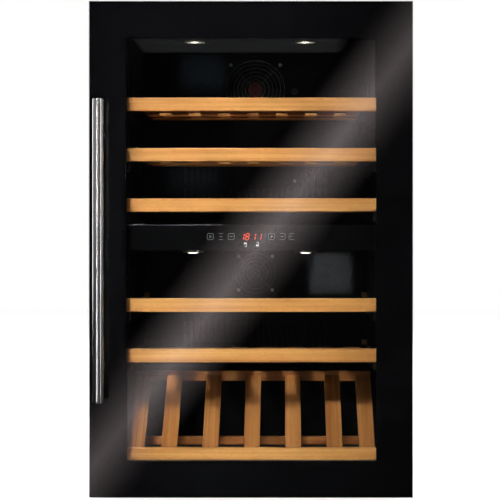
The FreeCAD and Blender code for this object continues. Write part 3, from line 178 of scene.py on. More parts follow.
def new_tree(name, sockets):
    """An empty geometry tree with named inputs, its two ends and a link maker."""
    tree = bpy.data.node_groups.new(name, "GeometryNodeTree")
    tree.interface.new_socket(name="Geometry", in_out="INPUT", socket_type="NodeSocketGeometry")
    for label, kind in sockets:
        tree.interface.new_socket(name=label, in_out="INPUT", socket_type=kind)
    tree.interface.new_socket(name="Geometry", in_out="OUTPUT", socket_type="NodeSocketGeometry")
    return tree, tree.nodes.new("NodeGroupInput"), tree.nodes.new("NodeGroupOutput")


def settle(master, tree, body, **values):
    """Runs a geometry tree on a master piece and fixes the plain mesh that it makes to a body."""
    modifier = master.modifiers.new("build", "NODES")
    modifier.node_group = tree
    for item in tree.interface.items_tree:
        key = item.name.replace(" ", "_").lower()
        if item.in_out == "INPUT" and key in values:
            modifier[item.identifier] = values[key]
    made = bpy.data.meshes.new_from_object(master.evaluated_get(bpy.context.evaluated_depsgraph_get()))
    master.modifiers.remove(modifier)
    master.data = made
    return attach(master, body)


def blocks(name, boxes, rounding, segments=2):
    """Rounded blocks, each from a low to a high corner, as one mesh in place."""
    whole = bmesh.new()
    for low, high in boxes:
        single = bmesh.new()
        bmesh.ops.create_cube(single, size=1.0)
        for vertex in single.verts:
            vertex.co = [low[a] + (vertex.co[a] + 0.5) * (high[a] - low[a]) for a in range(3)]
        bmesh.ops.bevel(single, geom=single.edges[:], offset=rounding, segments=segments,
                        profile=0.5, affect="EDGES", clamp_overlap=True)
        scratch = bpy.data.meshes.new("scratch")
        single.to_mesh(scratch)
        single.free()
        whole.from_mesh(scratch)
        bpy.data.meshes.remove(scratch)
    mesh = bpy.data.meshes.new(name)
    whole.to_mesh(mesh)
    whole.free()
    piece = bpy.data.objects.new(name, mesh)
    bpy.context.scene.collection.objects.link(piece)
    return piece


row, ends, outlet = new_tree("row", [("Count", INTEGER), ("Step", VECTOR), ("Finish", MATERIAL)])
line = row.nodes.new("GeometryNodeMeshLine")
row.links.new(ends.outputs["Count"], line.inputs["Count"])
row.links.new(ends.outputs["Step"], line.inputs["Offset"])
copies = row.nodes.new("GeometryNodeInstanceOnPoints")
row.links.new(line.outputs["Mesh"], copies.inputs["Points"])
row.links.new(ends.outputs["Geometry"], copies.inputs["Instance"])
real = row.nodes.new("GeometryNodeRealizeInstances")
row.links.new(copies.outputs["Instances"], real.inputs["Geometry"])
finish = row.nodes.new("GeometryNodeSetMaterial")
row.links.new(real.outputs["Geometry"], finish.inputs["Geometry"])
row.links.new(ends.outputs["Finish"], finish.inputs["Material"])
row.links.new(finish.outputs["Geometry"], outlet.inputs["Geometry"])


def repeated(master, body, count, step, finish):
    """Copies of a master piece in a straight row, as one piece of a body."""
    return settle(master, row, body, count=count, step=step, finish=finish)


RIBS, RIB_PITCH = 3, 0.113
rib_root, rib_face, rib_front, rib_back = 0.2386, 0.2366, -0.109, -0.097
for name, low_z, high_z in (("liner_ribs_upper", 0.506, 0.866), ("liner_ribs_lower", 0.215, 0.451)):
    rib_pair = blocks(name, [((-rib_root, rib_front, low_z), (-rib_face, rib_back, high_z)),
                             ((rib_face, rib_front, low_z), (rib_root, rib_back, high_z))],
                      rounding=0.0008)
    repeated(rib_pair, "cabinet", RIBS, (0.0, RIB_PITCH, 0.0), liner_black)

# ---- Shelf rails and runners ---------------------------------------------------------------
# Folded steel C-channels, black e-coated, hooked into the liner's ribs; the runners under each
# shelf are the same steel and slide inside them. Small angle clips with yellow zinc plating lock
# the two lower pairs of rails at the back.
SHELVES = range(1, 6)
rail_black = surface("e_coated_steel", (0.02, 0.02, 0.021), 0.38, 0.3, grain=(8, 60, 60), tone=0.3,
                     depth=0.00001)
dress(rail_black, "slide_rails", *[f"shelf_{number}_runners" for number in SHELVES])
clip_out, clip_in, clip_back, clip_low = 0.2374, 0.226, 0.2112, 0.2485
foot_front, foot_top, upright_front, upright_top = 0.196, 0.2503, 0.209, 0.2585
clip_parts = []
for side_low, side_high in ((-clip_out, -clip_in), (clip_in, clip_out)):
    clip_parts.append(((side_low, foot_front, clip_low), (side_high, clip_back, foot_top)))
    clip_parts.append(((side_low, upright_front, clip_low), (side_high, clip_back, upright_top)))
CLIP_LEVELS, CLIP_PITCH = 2, 0.1005
rail_clips = blocks("rail_clips", clip_parts, rounding=0.0004)
yellow_zinc = surface("yellow_zinc", (0.34, 0.2, 0.1), 0.4, 0.8, grain=(200, 200, 200))
repeated(rail_clips, "cabinet", CLIP_LEVELS, (0.0, 0.0, CLIP_PITCH), yellow_zinc)

# ---- Beech shelves -------------------------------------------------------------------------
# Solid beech front boards, planed, rounded and clear-lacquered, doweled to a deck of eight
# slats let into two notched cross battens. The slats get a far darker beech as painted shade,
# standing for the shade under each shelf. Beech has fine dark flecks.


def beech(name, along, light, dark):
    """Lacquered beech whose grain runs along one direction of the piece."""
    material, tree, principled, coords = shader(name, light, 0.4)
    turned = coords
    if abs(along[2]) > 0.1:
        mapping = tree.nodes.new("ShaderNodeMapping")
        mapping.vector_type = "TEXTURE"
        mapping.inputs["Rotation"].default_value = (math.atan2(along[2], along[1]), 0, 0)
        tree.links.new(coords, mapping.inputs["Vector"])
        turned = mapping.outputs["Vector"]
    along_x = abs(along[0]) > 0.5
    bands = stretched_noise(tree, turned, (3.0, 110, 190) if along_x else (190, 3.0, 110), 5.0)
    drift = stretched_noise(tree, turned, (1.3, 9, 32) if along_x else (32, 1.3, 9), 2.0)
    flecks = stretched_noise(tree, turned, (95, 1500, 1500) if along_x else (1500, 95, 1500), 1.0)
    board = two_tone(tree, spread(tree, bands, 0, 1, 0.36, 0.64), light, dark)
    blend = tree.nodes.new("ShaderNodeMix")
    blend.data_type = "RGBA"
    blend.blend_type = "MULTIPLY"
    tree.links.new(spread(tree, drift, 0.0, 0.8), blend.inputs["Factor"])
    tree.links.new(board, blend.inputs["A"])
    blend.inputs["B"].default_value = (0.86, 0.74, 0.62, 1)
    pores = tree.nodes.new("ShaderNodeMix")
    pores.data_type = "RGBA"
    pores.blend_type = "MULTIPLY"
    tree.links.new(spread(tree, flecks, 0.0, 0.6, 0.6, 0.72), pores.inputs["Factor"])
    tree.links.new(blend.outputs["Result"], pores.inputs["A"])
    pores.inputs["B"].default_value = (0.55, 0.4, 0.28, 1)
    tree.links.new(pores.outputs["Result"], principled.inputs["Base Color"])
    tree.links.new(spread(tree, bands, 0.34, 0.5), principled.inputs["Roughness"])
    principled.inputs["Specular IOR Level"].default_value = 0.25
    principled.inputs["Coat Weight"].default_value = 0.08
    principled.inputs["Coat Roughness"].default_value = 0.3
    relief(tree, principled, flecks, 0.00004)
    return material


BEECH_LIGHT, BEECH_DARK = (0.92, 0.475, 0.155), (0.78, 0.35, 0.098)
beech_across = beech("beech_across", (1, 0, 0), BEECH_LIGHT, BEECH_DARK)
# Painted shade: the deck slats get a far darker beech than the boards, for the shade under each shelf.
beech_deep = beech("beech_deep", (0, 1, 0), (0.42, 0.18, 0.06), (0.3, 0.115, 0.034))
SLATS, BATTENS = 8, 2
slat_left, slat_width, slat_pitch, slat_back = -0.214, 0.034, 0.394 / 7, 0.055
slat_under, slat_over = 0.009, 0.005
batten_half, batten_front, batten_back, batten_pitch = 0.204, -0.068, -0.048, 0.096
batten_under, batten_over = 0.012, 0.0056
BOARD_BACK = -0.188
for number in SHELVES:
    body = f"shelf_{number}"
    front_low, front_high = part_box(f"shelf_{number}_front")
    middle = (front_low.z + front_high.z) / 2
    dress(beech_across, f"shelf_{number}_front")
    slats = blocks(f"shelf_{number}_slats", [
        ((slat_left, BOARD_BACK, middle - slat_under),
         (slat_left + slat_width, slat_back, middle - slat_over))], rounding=0.001)
    repeated(slats, body, SLATS, (slat_pitch, 0.0, 0.0), beech_deep)
    battens = blocks(f"shelf_{number}_battens", [
        ((-batten_half, batten_front, middle - batten_under),
         (batten_half, batten_back, middle - batten_over))], rounding=0.0006)
    repeated(battens, body, BATTENS, (0.0, batten_pitch, 0.0), beech_across)
    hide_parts(f"shelf_{number}_deck")

# ---- Display rack --------------------------------------------------------------------------
# A tilted beech rack on the cabinet floor: front rail, rear rails and side cleats, with seven
# slats laid at an angle on them and pinned at both ends, so that bottles lie neck forward.
rack_run, rack_low_top, rack_high_top, slat_thick = 0.168, 0.080, 0.206, 0.010
tilt = math.atan2(rack_high_top - rack_low_top, rack_run)
# Painted shade: the rack slats get a darker, redder beech than the boards, for the shade under the lowest
# shelf.
beech_tilted = beech("beech_tilted", (0, math.cos(tilt), math.sin(tilt)),
                     (0.56, 0.255, 0.083), (0.42, 0.165, 0.045))

# The rails behind the front rail are darkened as painted shade, for the shade deep under the lowest shelf;
# the front rail keeps the plain beech.
beech_rails = beech("beech_rails", (1, 0, 0), BEECH_LIGHT, BEECH_DARK)
tree = beech_rails.node_tree
wood_link = tree.nodes["Principled BSDF"].inputs["Base Color"].links[0]
behind = tree.nodes.new("ShaderNodeSeparateXYZ")
tree.links.new(next(node for node in tree.nodes if node.type == "TEX_COORD").outputs["Object"],
               behind.inputs["Vector"])
rear_rails_shade = tree.nodes.new("ShaderNodeMix")
rear_rails_shade.data_type = "RGBA"
rear_rails_shade.blend_type = "MULTIPLY"
tree.links.new(spread(tree, behind.outputs["Y"], 0, 1, BOARD_BACK + 0.0001, BOARD_BACK + 0.001),
               rear_rails_shade.inputs["Factor"])
tree.links.new(wood_link.from_socket, rear_rails_shade.inputs["A"])
rear_rails_shade.inputs["B"].default_value = (0.45, 0.36, 0.36, 1)
tree.links.new(rear_rails_shade.outputs["Result"], tree.nodes["Principled BSDF"].inputs["Base Color"])
dress(beech_rails, "display_rack_frame")


def rack_slat(name, middle):
    """One slat with vertical cut ends, in place."""
    width, rounding = 0.030, 0.0014
    mesh = bpy.data.meshes.new(name)
    shape = bmesh.new()
    bmesh.ops.create_cube(shape, size=1.0)
    for vertex in shape.verts:
        run = vertex.co.y + 0.5
        top = rack_low_top + run * (rack_high_top - rack_low_top)
        vertex.co = (middle + vertex.co.x * width, BOARD_BACK + run * rack_run,
                     top - (0.5 - vertex.co.z) * slat_thick)
    bmesh.ops.bevel(shape, geom=shape.edges[:], offset=rounding, segments=2, profile=0.5,
                    affect="EDGES")
    shape.to_mesh(mesh)
    shape.free()
    piece = bpy.data.objects.new(name, mesh)
    bpy.context.scene.collection.objects.link(piece)
    return piece


rack_pitch, rack_side = 0.0775, 0.216
middle_slats = repeated(rack_slat("rack_slats_middle", -2 * rack_pitch), "cabinet", 5,
                        (rack_pitch, 0.0, 0.0), beech_tilted)
side_slats = repeated(rack_slat("rack_slats_side", -rack_side), "cabinet", 2,
                      (2 * rack_side, 0.0, 0.0), beech_tilted)
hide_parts("display_rack_slats")

# ---- Zone divider and controls -------------------------------------------------------------
# The divider's front edge carries a strip of gloss black acrylic. Touch marks are printed in
# pale grey on its back and given a faint glow, painted light that keeps them bright under any
# lamp; red seven-segment digits and two zone marks shine through it.
gloss_black, tree, principled, coords = shader("acrylic_black", (0.004, 0.004, 0.0045), 0.07)
haze = stretched_noise(tree, coords, (60, 60, 60))
tree.links.new(spread(tree, haze, 0.05, 0.1), principled.inputs["Roughness"])
dress(gloss_black, "control_fascia")
dress(surface("circuit_board", (0.02, 0.12, 0.05), 0.4, grain=(300, 300, 300), tone=0.3), "control_board")


def glow(name, colour, strength):
    """A lit mark, or a printed mark given painted light, with a slightly uneven brightness."""
    material, tree, principled, coords = shader(name, (0.02, 0.02, 0.02), 0.4)
    cells = stretched_noise(tree, coords, (900, 900, 900), 1.0)
    tree.links.new(spread(tree, cells, strength * 0.85, strength * 1.1),
                   principled.inputs["Emission Strength"])
    principled.inputs["Emission Color"].default_value = (*colour, 1)
    return material


digit_red = glow("digit_red", (1.0, 0.07, 0.02), 1.5)
# Painted light: the printed touch marks glow faintly.
mark_grey = glow("mark_grey", (0.62, 0.66, 0.66), 0.42)
zone_white = glow("zone_white", (0.95, 0.98, 1.0), 0.8)
face_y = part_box("control_fascia")[0].y
digit_height, digit_width, digit_slant, bar = 0.0118, 0.0058, 0.17, 0.0017
SEGMENTS = {"a": ((0, 1), (1, 1)), "b": ((1, 1), (1, 0.5)), "c": ((1, 0.5), (1, 0)), "d": ((0, 0), (1, 0)),
            "e": ((0, 0.5), (0, 0)), "f": ((0, 1), (0, 0.5)), "g": ((0, 0.5), (1, 0.5))}
DIGITS = {"1": "bc", "8": "abcdefg"}


def flat_marks(name, outlines, thickness, finish):
    """Flat-faced marks on the fascia: each outline is a list of (x, z) corners."""
    mesh = bpy.data.meshes.new(name)
    shape = bmesh.new()
    for outline in outlines:
        face = shape.faces.new([shape.verts.new((x, face_y, z)) for x, z in outline])
        side = bmesh.ops.extrude_face_region(shape, geom=[face])["geom"]
        for vertex in (item for item in side if isinstance(item, bmesh.types.BMVert)):
            vertex.co.y -= thickness
    bmesh.ops.recalc_face_normals(shape, faces=shape.faces[:])
    shape.to_mesh(mesh)
    shape.free()
    mesh.materials.append(finish)
    piece = bpy.data.objects.new(name, mesh)
    bpy.context.scene.collection.objects.link(piece)
    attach(piece, "cabinet")


digit_bars = []
digit_low = 0.4745
for left, figure in ((-0.0208, "1"), (-0.0116, "8"), (0.0004, "1"), (0.0112, "1")):
    for segment in DIGITS[figure]:
        (ax, az), (bx, bz) = SEGMENTS[segment]
        start = Vector((left + ax * digit_width, digit_low + az * digit_height))
        end = Vector((left + bx * digit_width, digit_low + bz * digit_height))
        way = (end - start).normalized()
        across = Vector((-way.y, way.x)) * bar / 2
        start += way * bar * 0.25
        end -= way * bar * 0.25
        corners = [start, start + way * bar / 2 + across, end - way * bar / 2 + across,
                   end, end - way * bar / 2 - across, start + way * bar / 2 - across]
        digit_bars.append([(x + (z - digit_low) * digit_slant, z) for x, z in corners])
flat_marks("display_digits", digit_bars, 0.00012, digit_red)


def octagon(x, z, radius, cut):
    """Outline corners of a square with cut corners."""
    near, far = radius - cut, radius
    return [(x - near, z - far), (x + near, z - far), (x + far, z - near), (x + far, z + near),
            (x + near, z + far), (x - near, z + far), (x - far, z + near), (x - far, z - near)]


def strip(x0, z0, x1, z1, width):
    """Outline of a straight printed line."""
    start, end = Vector((x0, z0)), Vector((x1, z1))
    across = (end - start).normalized().orthogonal() * width / 2
    return [tuple(start + across), tuple(end + across), tuple(end - across), tuple(start - across)]


mark_z, mark_radius, corner_cut = 0.4806, 0.0056, 0.0016
line_width, sign_width, reach = 0.0006, 0.0009, 0.0024
mark_lines = []
for x, sides, sign in ((-0.0763, "lrtb", "x"), (-0.0565, "tb", "-"), (-0.0375, "lrtb", "-"),
                       (0.0372, "lrtb", "o"), (0.0567, "trb", "-"), (0.0752, "ltb", "c")):
    corner = octagon(x, mark_z, mark_radius, corner_cut)
    side_of = {"b": (0, 1), "r": (2, 3), "t": (4, 5), "l": (6, 7)}
    for side in sides:
        first, second = side_of[side]
        mark_lines.append(strip(*corner[first], *corner[second], line_width))
    if len(sides) > 2:
        mark_lines += [strip(*corner[k], *corner[(k + 1) % 8], line_width)
                       for k, side in ((1, "r"), (3, "r"), (5, "l"), (7, "l")) if side in sides]
    if sign == "x":
        mark_lines.append(strip(x - 0.001, mark_z - reach, x - 0.001, mark_z + reach, sign_width))
        mark_lines.append(strip(x + 0.001, mark_z - reach, x + 0.001, mark_z + reach, sign_width))
    elif sign == "-":
        mark_lines.append(strip(x - reach, mark_z, x + reach, mark_z, sign_width))
    elif sign == "o":
        mark_lines.append(octagon(x, mark_z, 0.0017, 0.0006))
    else:
        mark_lines.append(strip(x - 0.0022, mark_z + 0.0012, x + 0.0004, mark_z + 0.0012, 0.0008))
        mark_lines.append(strip(x - 0.0022, mark_z + 0.0012, x - 0.0022, mark_z - 0.0014, 0.0008))
# Two small ticks beside the digits stand for the unit.
unit_x, tick_z, dash_z = 0.0252, 0.4852, 0.4814
mark_lines.append(strip(unit_x - 0.0008, tick_z + 0.0006, unit_x + 0.0012, tick_z - 0.0006, 0.0007))
mark_lines.append(strip(unit_x, dash_z + 0.0008, unit_x, dash_z - 0.0008, line_width))
flat_marks("touch_marks", mark_lines, 0.0001, mark_grey)
zone_z, zone_half, zone_wide = 0.4661, 0.0036, 0.0026
zone_marks = []
for x, solid in ((-0.0113, 1), (0.0109, -1)):
    left, right = x - zone_wide, x + zone_wide
    filled_z, open_z = zone_z + solid * zone_half, zone_z - solid * zone_half
    zone_marks.append([(left, zone_z), (right, zone_z), (right, filled_z), (left, filled_z)])
    zone_marks.append(strip(right - 0.0005, zone_z, right - 0.0005, open_z, sign_width))
    zone_marks.append(strip(left + 0.001, open_z, right, open_z, 0.0011))
flat_marks("zone_marks", zone_marks, 0.0001, zone_white)

# ---- Downlights ----------------------------------------------------------------------------
# Four round LED downlights: spun metal rings pressed into the ceiling and the divider, each
# with a frosted polycarbonate lens over warm white chips.
dress(surface("spun_ring", (0.62, 0.58, 0.52), 0.28, 0.95, grain=(400, 400, 400), tone=0.1), "lamp_bezels")
dress(glow("led_lens", (1.0, 0.88, 0.68), 0.55), "lamp_lenses")
led_white = glow("led_white", (1.0, 0.93, 0.8), 5.0)
lamp_left, lamp_pitch = -0.1175, 0.220
for name, centre_y, low_z, height, radius in (("ceiling_leds", 0.004, 0.8649, 0.0009, 0.007),
                                              ("divider_leds", -0.046, 0.4463, 0.0028, 0.0125)):
    mesh = bpy.data.meshes.new(name)
    shape = bmesh.new()
    bmesh.ops.create_uvsphere(shape, u_segments=24, v_segments=12, radius=1.0)
    for vertex in shape.verts:
        vertex.co = (lamp_left + vertex.co.x * radius, centre_y + vertex.co.y * radius,
                     low_z + height * (1 + vertex.co.z))
    shape.to_mesh(mesh)
    shape.free()
    chips = bpy.data.objects.new(name, mesh)
    bpy.context.scene.collection.objects.link(chips)
    repeated(chips, "cabinet", 2, (lamp_pitch, 0.0, 0.0), led_white)

# ---- Air covers, evaporators and probes ----------------------------------------------------
# Shallow moulded ABS pans in satin black hide the evaporator plates, which are coloured near
# black as painted shade so that the slots over them stay dark. Air leaves by rows of upright
# slots; a probe cap clips into each pan and a screw holds each at its middle.
cover_black, tree, principled, coords = shader("cover_abs", (0.0022, 0.0023, 0.0026), 0.3)
principled.inputs["Specular IOR Level"].default_value = 0.2
fine_grain = stretched_noise(tree, coords, (700, 700, 700), 2.0)
tree.links.new(spread(tree, fine_grain, 0.26, 0.36), principled.inputs["Roughness"])
relief(tree, principled, fine_grain, 0.000015)
dress(cover_black, "air_cover_upper", "air_cover_lower")
# Painted shade: the evaporator plates are coloured near black so that the slots over them read dark.
dress(surface("coated_evaporator", (0.006, 0.006, 0.006), 0.6, grain=(10, 60, 120), tone=0.2),
      "evaporators")
dress(surface("probe_plastic", (0.012, 0.012, 0.012), 0.35, grain=(500, 500, 500)), "temperature_sensors")

# ---- Fans and wire guards ------------------------------------------------------------------
# Moulded black axial fans sit behind the pans. Each has a chromed wire guard: round rings spot
# welded on four diagonal wires that end in screw eyes, held by the fan's own four screws.
fan_black = surface("fan_pbt", (0.012, 0.012, 0.013), 0.35, grain=(250, 250, 250), tone=0.2, depth=0.00001)
dress(fan_black, "fan_housings", "fan_upper_rotor", "fan_lower_rotor", "condenser_fan_rotor")
UPPER_FAN_Z, LOWER_FAN_Z = 0.790, 0.3995

# A round red label is stuck on the upper fan's hub.
label_radius, label_lift = 0.0155, 0.0002
label_place = Matrix.Translation((0.0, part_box("fan_upper_rotor")[0].y - label_lift, UPPER_FAN_Z))
mesh = bpy.data.meshes.new("fan_label")
shape = bmesh.new()
bmesh.ops.create_circle(shape, cap_ends=True, segments=48, radius=label_radius,
                        matrix=label_place @ Matrix.Rotation(math.radians(90), 4, "X"))
shape.to_mesh(mesh)
shape.free()
fan_label = bpy.data.objects.new("fan_label", mesh)
bpy.context.scene.collection.objects.link(fan_label)
mesh.materials.append(surface("label_red", (0.3, 0.03, 0.03), 0.4, grain=(300, 300, 300), tone=0.3))
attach(fan_label, "fan_upper_rotor")
chrome = surface("chromed_wire", (0.17, 0.17, 0.175), 0.32, 1.0, grain=(300, 300, 300), tone=0.2)

rings, ends, outlet = new_tree("rings", [
    ("Count", INTEGER), ("Outer Radius", NUMBER), ("Step", NUMBER), ("Centre", VECTOR),
    ("Wire Radius", NUMBER), ("Finish", MATERIAL)])
line = rings.nodes.new("GeometryNodeMeshLine")
line.inputs["Offset"].default_value = (0, 0, 0)
rings.links.new(ends.outputs["Count"], line.inputs["Count"])
rings.links.new(ends.outputs["Centre"], line.inputs["Start Location"])
index = rings.nodes.new("GeometryNodeInputIndex")
shrink = rings.nodes.new("ShaderNodeMath")
shrink.operation = "MULTIPLY"
rings.links.new(index.outputs["Index"], shrink.inputs[0])
rings.links.new(ends.outputs["Step"], shrink.inputs[1])
radius = rings.nodes.new("ShaderNodeMath")
radius.operation = "SUBTRACT"
rings.links.new(ends.outputs["Outer Radius"], radius.inputs[0])
rings.links.new(shrink.outputs["Value"], radius.inputs[1])
circle = rings.nodes.new("GeometryNodeCurvePrimitiveCircle")
circle.inputs["Resolution"].default_value = 72
circle.inputs["Radius"].default_value = 1.0
copies = rings.nodes.new("GeometryNodeInstanceOnPoints")
copies.inputs["Rotation"].default_value = (math.pi / 2, 0, 0)
rings.links.new(line.outputs["Mesh"], copies.inputs["Points"])
rings.links.new(circle.outputs["Curve"], copies.inputs["Instance"])
rings.links.new(radius.outputs["Value"], copies.inputs["Scale"])
real = rings.nodes.new("GeometryNodeRealizeInstances")
rings.links.new(copies.outputs["Instances"], real.inputs["Geometry"])
wire = rings.nodes.new("GeometryNodeCurvePrimitiveCircle")
wire.inputs["Resolution"].default_value = 10
rings.links.new(ends.outputs["Wire Radius"], wire.inputs["Radius"])
tube = rings.nodes.new("GeometryNodeCurveToMesh")
rings.links.new(real.outputs["Geometry"], tube.inputs["Curve"])
rings.links.new(wire.outputs["Curve"], tube.inputs["Profile Curve"])
smooth = rings.nodes.new("GeometryNodeSetShadeSmooth")
rings.links.new(tube.outputs["Mesh"], smooth.inputs["Geometry"])
finish = rings.nodes.new("GeometryNodeSetMaterial")
rings.links.new(smooth.outputs["Geometry"], finish.inputs["Geometry"])
rings.links.new(ends.outputs["Finish"], finish.inputs["Material"])
rings.links.new(finish.outputs["Geometry"], outlet.inputs["Geometry"])

sweeps, ends, outlet = new_tree("sweeps", [
    ("Wire Radius", NUMBER), ("Sides", INTEGER), ("Finish", MATERIAL)])
path = sweeps.nodes.new("GeometryNodeMeshToCurve")
sweeps.links.new(ends.outputs["Geometry"], path.inputs["Mesh"])
wire = sweeps.nodes.new("GeometryNodeCurvePrimitiveCircle")
sweeps.links.new(ends.outputs["Wire Radius"], wire.inputs["Radius"])
sweeps.links.new(ends.outputs["Sides"], wire.inputs["Resolution"])
tube = sweeps.nodes.new("GeometryNodeCurveToMesh")
tube.inputs["Fill Caps"].default_value = True
sweeps.links.new(path.outputs["Curve"], tube.inputs["Curve"])
sweeps.links.new(wire.outputs["Curve"], tube.inputs["Profile Curve"])
smooth = sweeps.nodes.new("GeometryNodeSetShadeSmooth")
sweeps.links.new(tube.outputs["Mesh"], smooth.inputs["Geometry"])
finish = sweeps.nodes.new("GeometryNodeSetMaterial")
sweeps.links.new(smooth.outputs["Geometry"], finish.inputs["Geometry"])
sweeps.links.new(ends.outputs["Finish"], finish.inputs["Material"])
sweeps.links.new(finish.outputs["Geometry"], outlet.inputs["Geometry"])


def paths(name, lines):
    """Edge paths for a sweep: each line is (points, closed)."""
    points, edges = [], []
    for line, closed in lines:
        first = len(points)
        points += [tuple(p) for p in line]
        edges += [(first + k, first + k + 1) for k in range(len(line) - 1)]
        if closed:
            edges.append((first + len(line) - 1, first))
    mesh = bpy.data.meshes.new(name)
    mesh.from_pydata(points, edges, [])
    piece = bpy.data.objects.new(name, mesh)
    bpy.context.scene.collection.objects.link(piece)
    return piece


wire_radius, arm_y, ring_y, ring_pitch, eye = 0.00095, 0.211, 0.20977, 0.0082, 0.00305
for name, centre_z, outer, count, reach in (("guard_upper", UPPER_FAN_Z, 0.062, 7, 0.07425),
                                            ("guard_lower", LOWER_FAN_Z, 0.042, 5, 0.05057)):
    ring_set = paths(f"{name}_rings", [([(0, ring_y, centre_z), (0, ring_y, centre_z + 0.001)], False)])
    settle(ring_set, rings, "cabinet", count=count, outer_radius=outer, step=ring_pitch,
           centre=(0.0, ring_y, centre_z), wire_radius=wire_radius, finish=chrome)
    lines = []
    for quarter in range(4):
        angle = math.radians(45 + 90 * quarter)
        out_x, out_z = math.cos(angle), math.sin(angle)
        arm_end = ((reach - eye) * out_x, arm_y, centre_z + (reach - eye) * out_z)
        lines.append(([(0, arm_y, centre_z), arm_end], False))
        lines.append(([(reach * out_x + eye * math.cos(turn * math.pi / 8), arm_y,
                        centre_z + reach * out_z + eye * math.sin(turn * math.pi / 8))
                       for turn in range(16)], True))
    arms = settle(paths(f"{name}_arms", lines), sweeps, "cabinet", wire_radius=wire_radius, sides=10,
                  finish=chrome)
    if name == "guard_upper":
        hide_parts("fan_guards")

# The lower fan's lead curls out beside its guard.
cable_black = surface("cable_sleeve", (0.008, 0.008, 0.008), 0.5, grain=(60, 300, 300))
curl_x, curl_y, curl_z = 0.0375, 0.2105, LOWER_FAN_Z - 0.04
curl = [(curl_x + 0.009 * math.sin(t * 0.42), curl_y - 0.0022 * math.sin(t * 0.24),
         curl_z + 0.0085 * math.cos(t * 0.42)) for t in range(-4, 9)]
fan_lead = settle(paths("fan_lead", [(curl, False)]), sweeps, "cabinet", wire_radius=0.0011, sides=10,
                  finish=cable_black)

# ---- Screws --------------------------------------------------------------------------------
# Zinc-plated pan-head screws hold the fans, one cover, the hinge plates
# and the rear grille; their heads stand where the cabinet's own screws are.
screw_zinc = surface("zinc_screw", (0.62, 0.62, 0.6), 0.3, 1.0, grain=(900, 900, 900), tone=0.15)
dress(screw_zinc, "fasteners")

# ---- Machine compartment -------------------------------------------------------------------
# Behind the grille: a welded compressor pot in black enamel on rubber mounts, a finned coil,
# copper lines, a blower, a grey box for the main board and a moulded tray for defrost water.
dress(surface("compressor_enamel", (0.012, 0.012, 0.013), 0.25, grain=(25, 25, 25), depth=0.00003),
      "compressor")
dress(surface("moulded_rubber", (0.02, 0.02, 0.02), 0.75, grain=(400, 400, 400), depth=0.00002),
      "compressor_mounts", "feet_rear", "foot_front_left", "foot_front_right")
dress(surface("coil_aluminium", (0.66, 0.67, 0.68), 0.4, 0.9, grain=(60, 300, 60)), "condenser")
dress(surface("drawn_copper", (0.72, 0.36, 0.2), 0.3, 1.0, grain=(40, 200, 200), tone=0.2),
      "refrigerant_line")
dress(surface("grey_plastic", (0.4, 0.4, 0.39), 0.5, grain=(300, 300, 300), depth=0.00002), "power_box")
dress(surface("black_plastic", (0.014, 0.014, 0.014), 0.45, grain=(300, 300, 300), depth=0.00002),
      "power_inlet", "drip_tray")

# ---- Hinges --------------------------------------------------------------------------------
# Thick pressed steel plates over and under the cabinet, black zinc-nickel plated, each with a
# riveted pin that turns in a white acetal bush in the door frame.
dress(surface("hinge_plate", (0.06, 0.06, 0.063), 0.38, 0.8, grain=(50, 50, 50), tone=0.2),
      "hinge_brackets")
dress(surface("acetal", (0.75, 0.74, 0.7), 0.4, grain=(500, 500, 500), tone=0.04), "hinge_bushes")

# ---- Door ----------------------------------------------------------------------------------
# A 5 mm toughened glass front with a black border fired on its back, bonded to a black frame;
# a second pane on a grey spacer closes the window. Both panes are clear and evenly smooth.


def clear_glass(name, tint):
    """Pane that lets light straight through and mirrors by its angle, with a faint wiped haze."""
    material = bpy.data.materials.new(name)
    material.use_nodes = True
    tree = material.node_tree
    tree.nodes.remove(tree.nodes["Principled BSDF"])
    fresnel = tree.nodes.new("ShaderNodeFresnel")
    face_side = tree.nodes.new("ShaderNodeNewGeometry").outputs["Backfacing"]
    tree.links.new(spread(tree, face_side, 1.5, 1 / 1.5, 0.0, 1.0), fresnel.inputs["IOR"])
    through = tree.nodes.new("ShaderNodeBsdfTransparent")
    through.inputs["Color"].default_value = (*tint, 1)
    mirror = tree.nodes.new("ShaderNodeBsdfGlossy")
    coords = tree.nodes.new("ShaderNodeTexCoord").outputs["Object"]
    haze = stretched_noise(tree, coords, (9, 9, 3), 3.0)
    tree.links.new(spread(tree, haze, 0.0, 0.02), mirror.inputs["Roughness"])
    blend = tree.nodes.new("ShaderNodeMixShader")
    tree.links.new(fresnel.outputs["Fac"], blend.inputs["Fac"])
    tree.links.new(through.outputs["BSDF"], blend.inputs[1])
    tree.links.new(mirror.outputs["BSDF"], blend.inputs[2])
    tree.links.new(blend.outputs["Shader"], tree.nodes["Material Output"].inputs["Surface"])
    return material


dress(clear_glass("front_pane", (0.985, 0.99, 0.985)), "door_outer_glass")
dress(clear_glass("inner_pane", (0.985, 0.99, 0.985)), "door_inner_glass")
fired_border = surface("fired_border", (0.0038, 0.0037, 0.0043), 0.5, grain=(40, 40, 40), tone=0.05)
fired_border.node_tree.nodes["Principled BSDF"].inputs["Specular IOR Level"].default_value = 0.0
mask_low, mask_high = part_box("door_border_mask")
print_gap = 0.00005
border_front, border_back = mask_low.y + print_gap, mask_high.y - print_gap
half_window, window_low, window_high = 0.228, 0.072, 0.843
post_x, post_heights, stud_radius = -0.273, (0.2466, 0.6646), 0.0035


def oblong(x0, z0, x1, z1):
    """Outline corners of an upright rectangle."""
    return [(x0, z0), (x1, z0), (x1, z1), (x0, z1)]


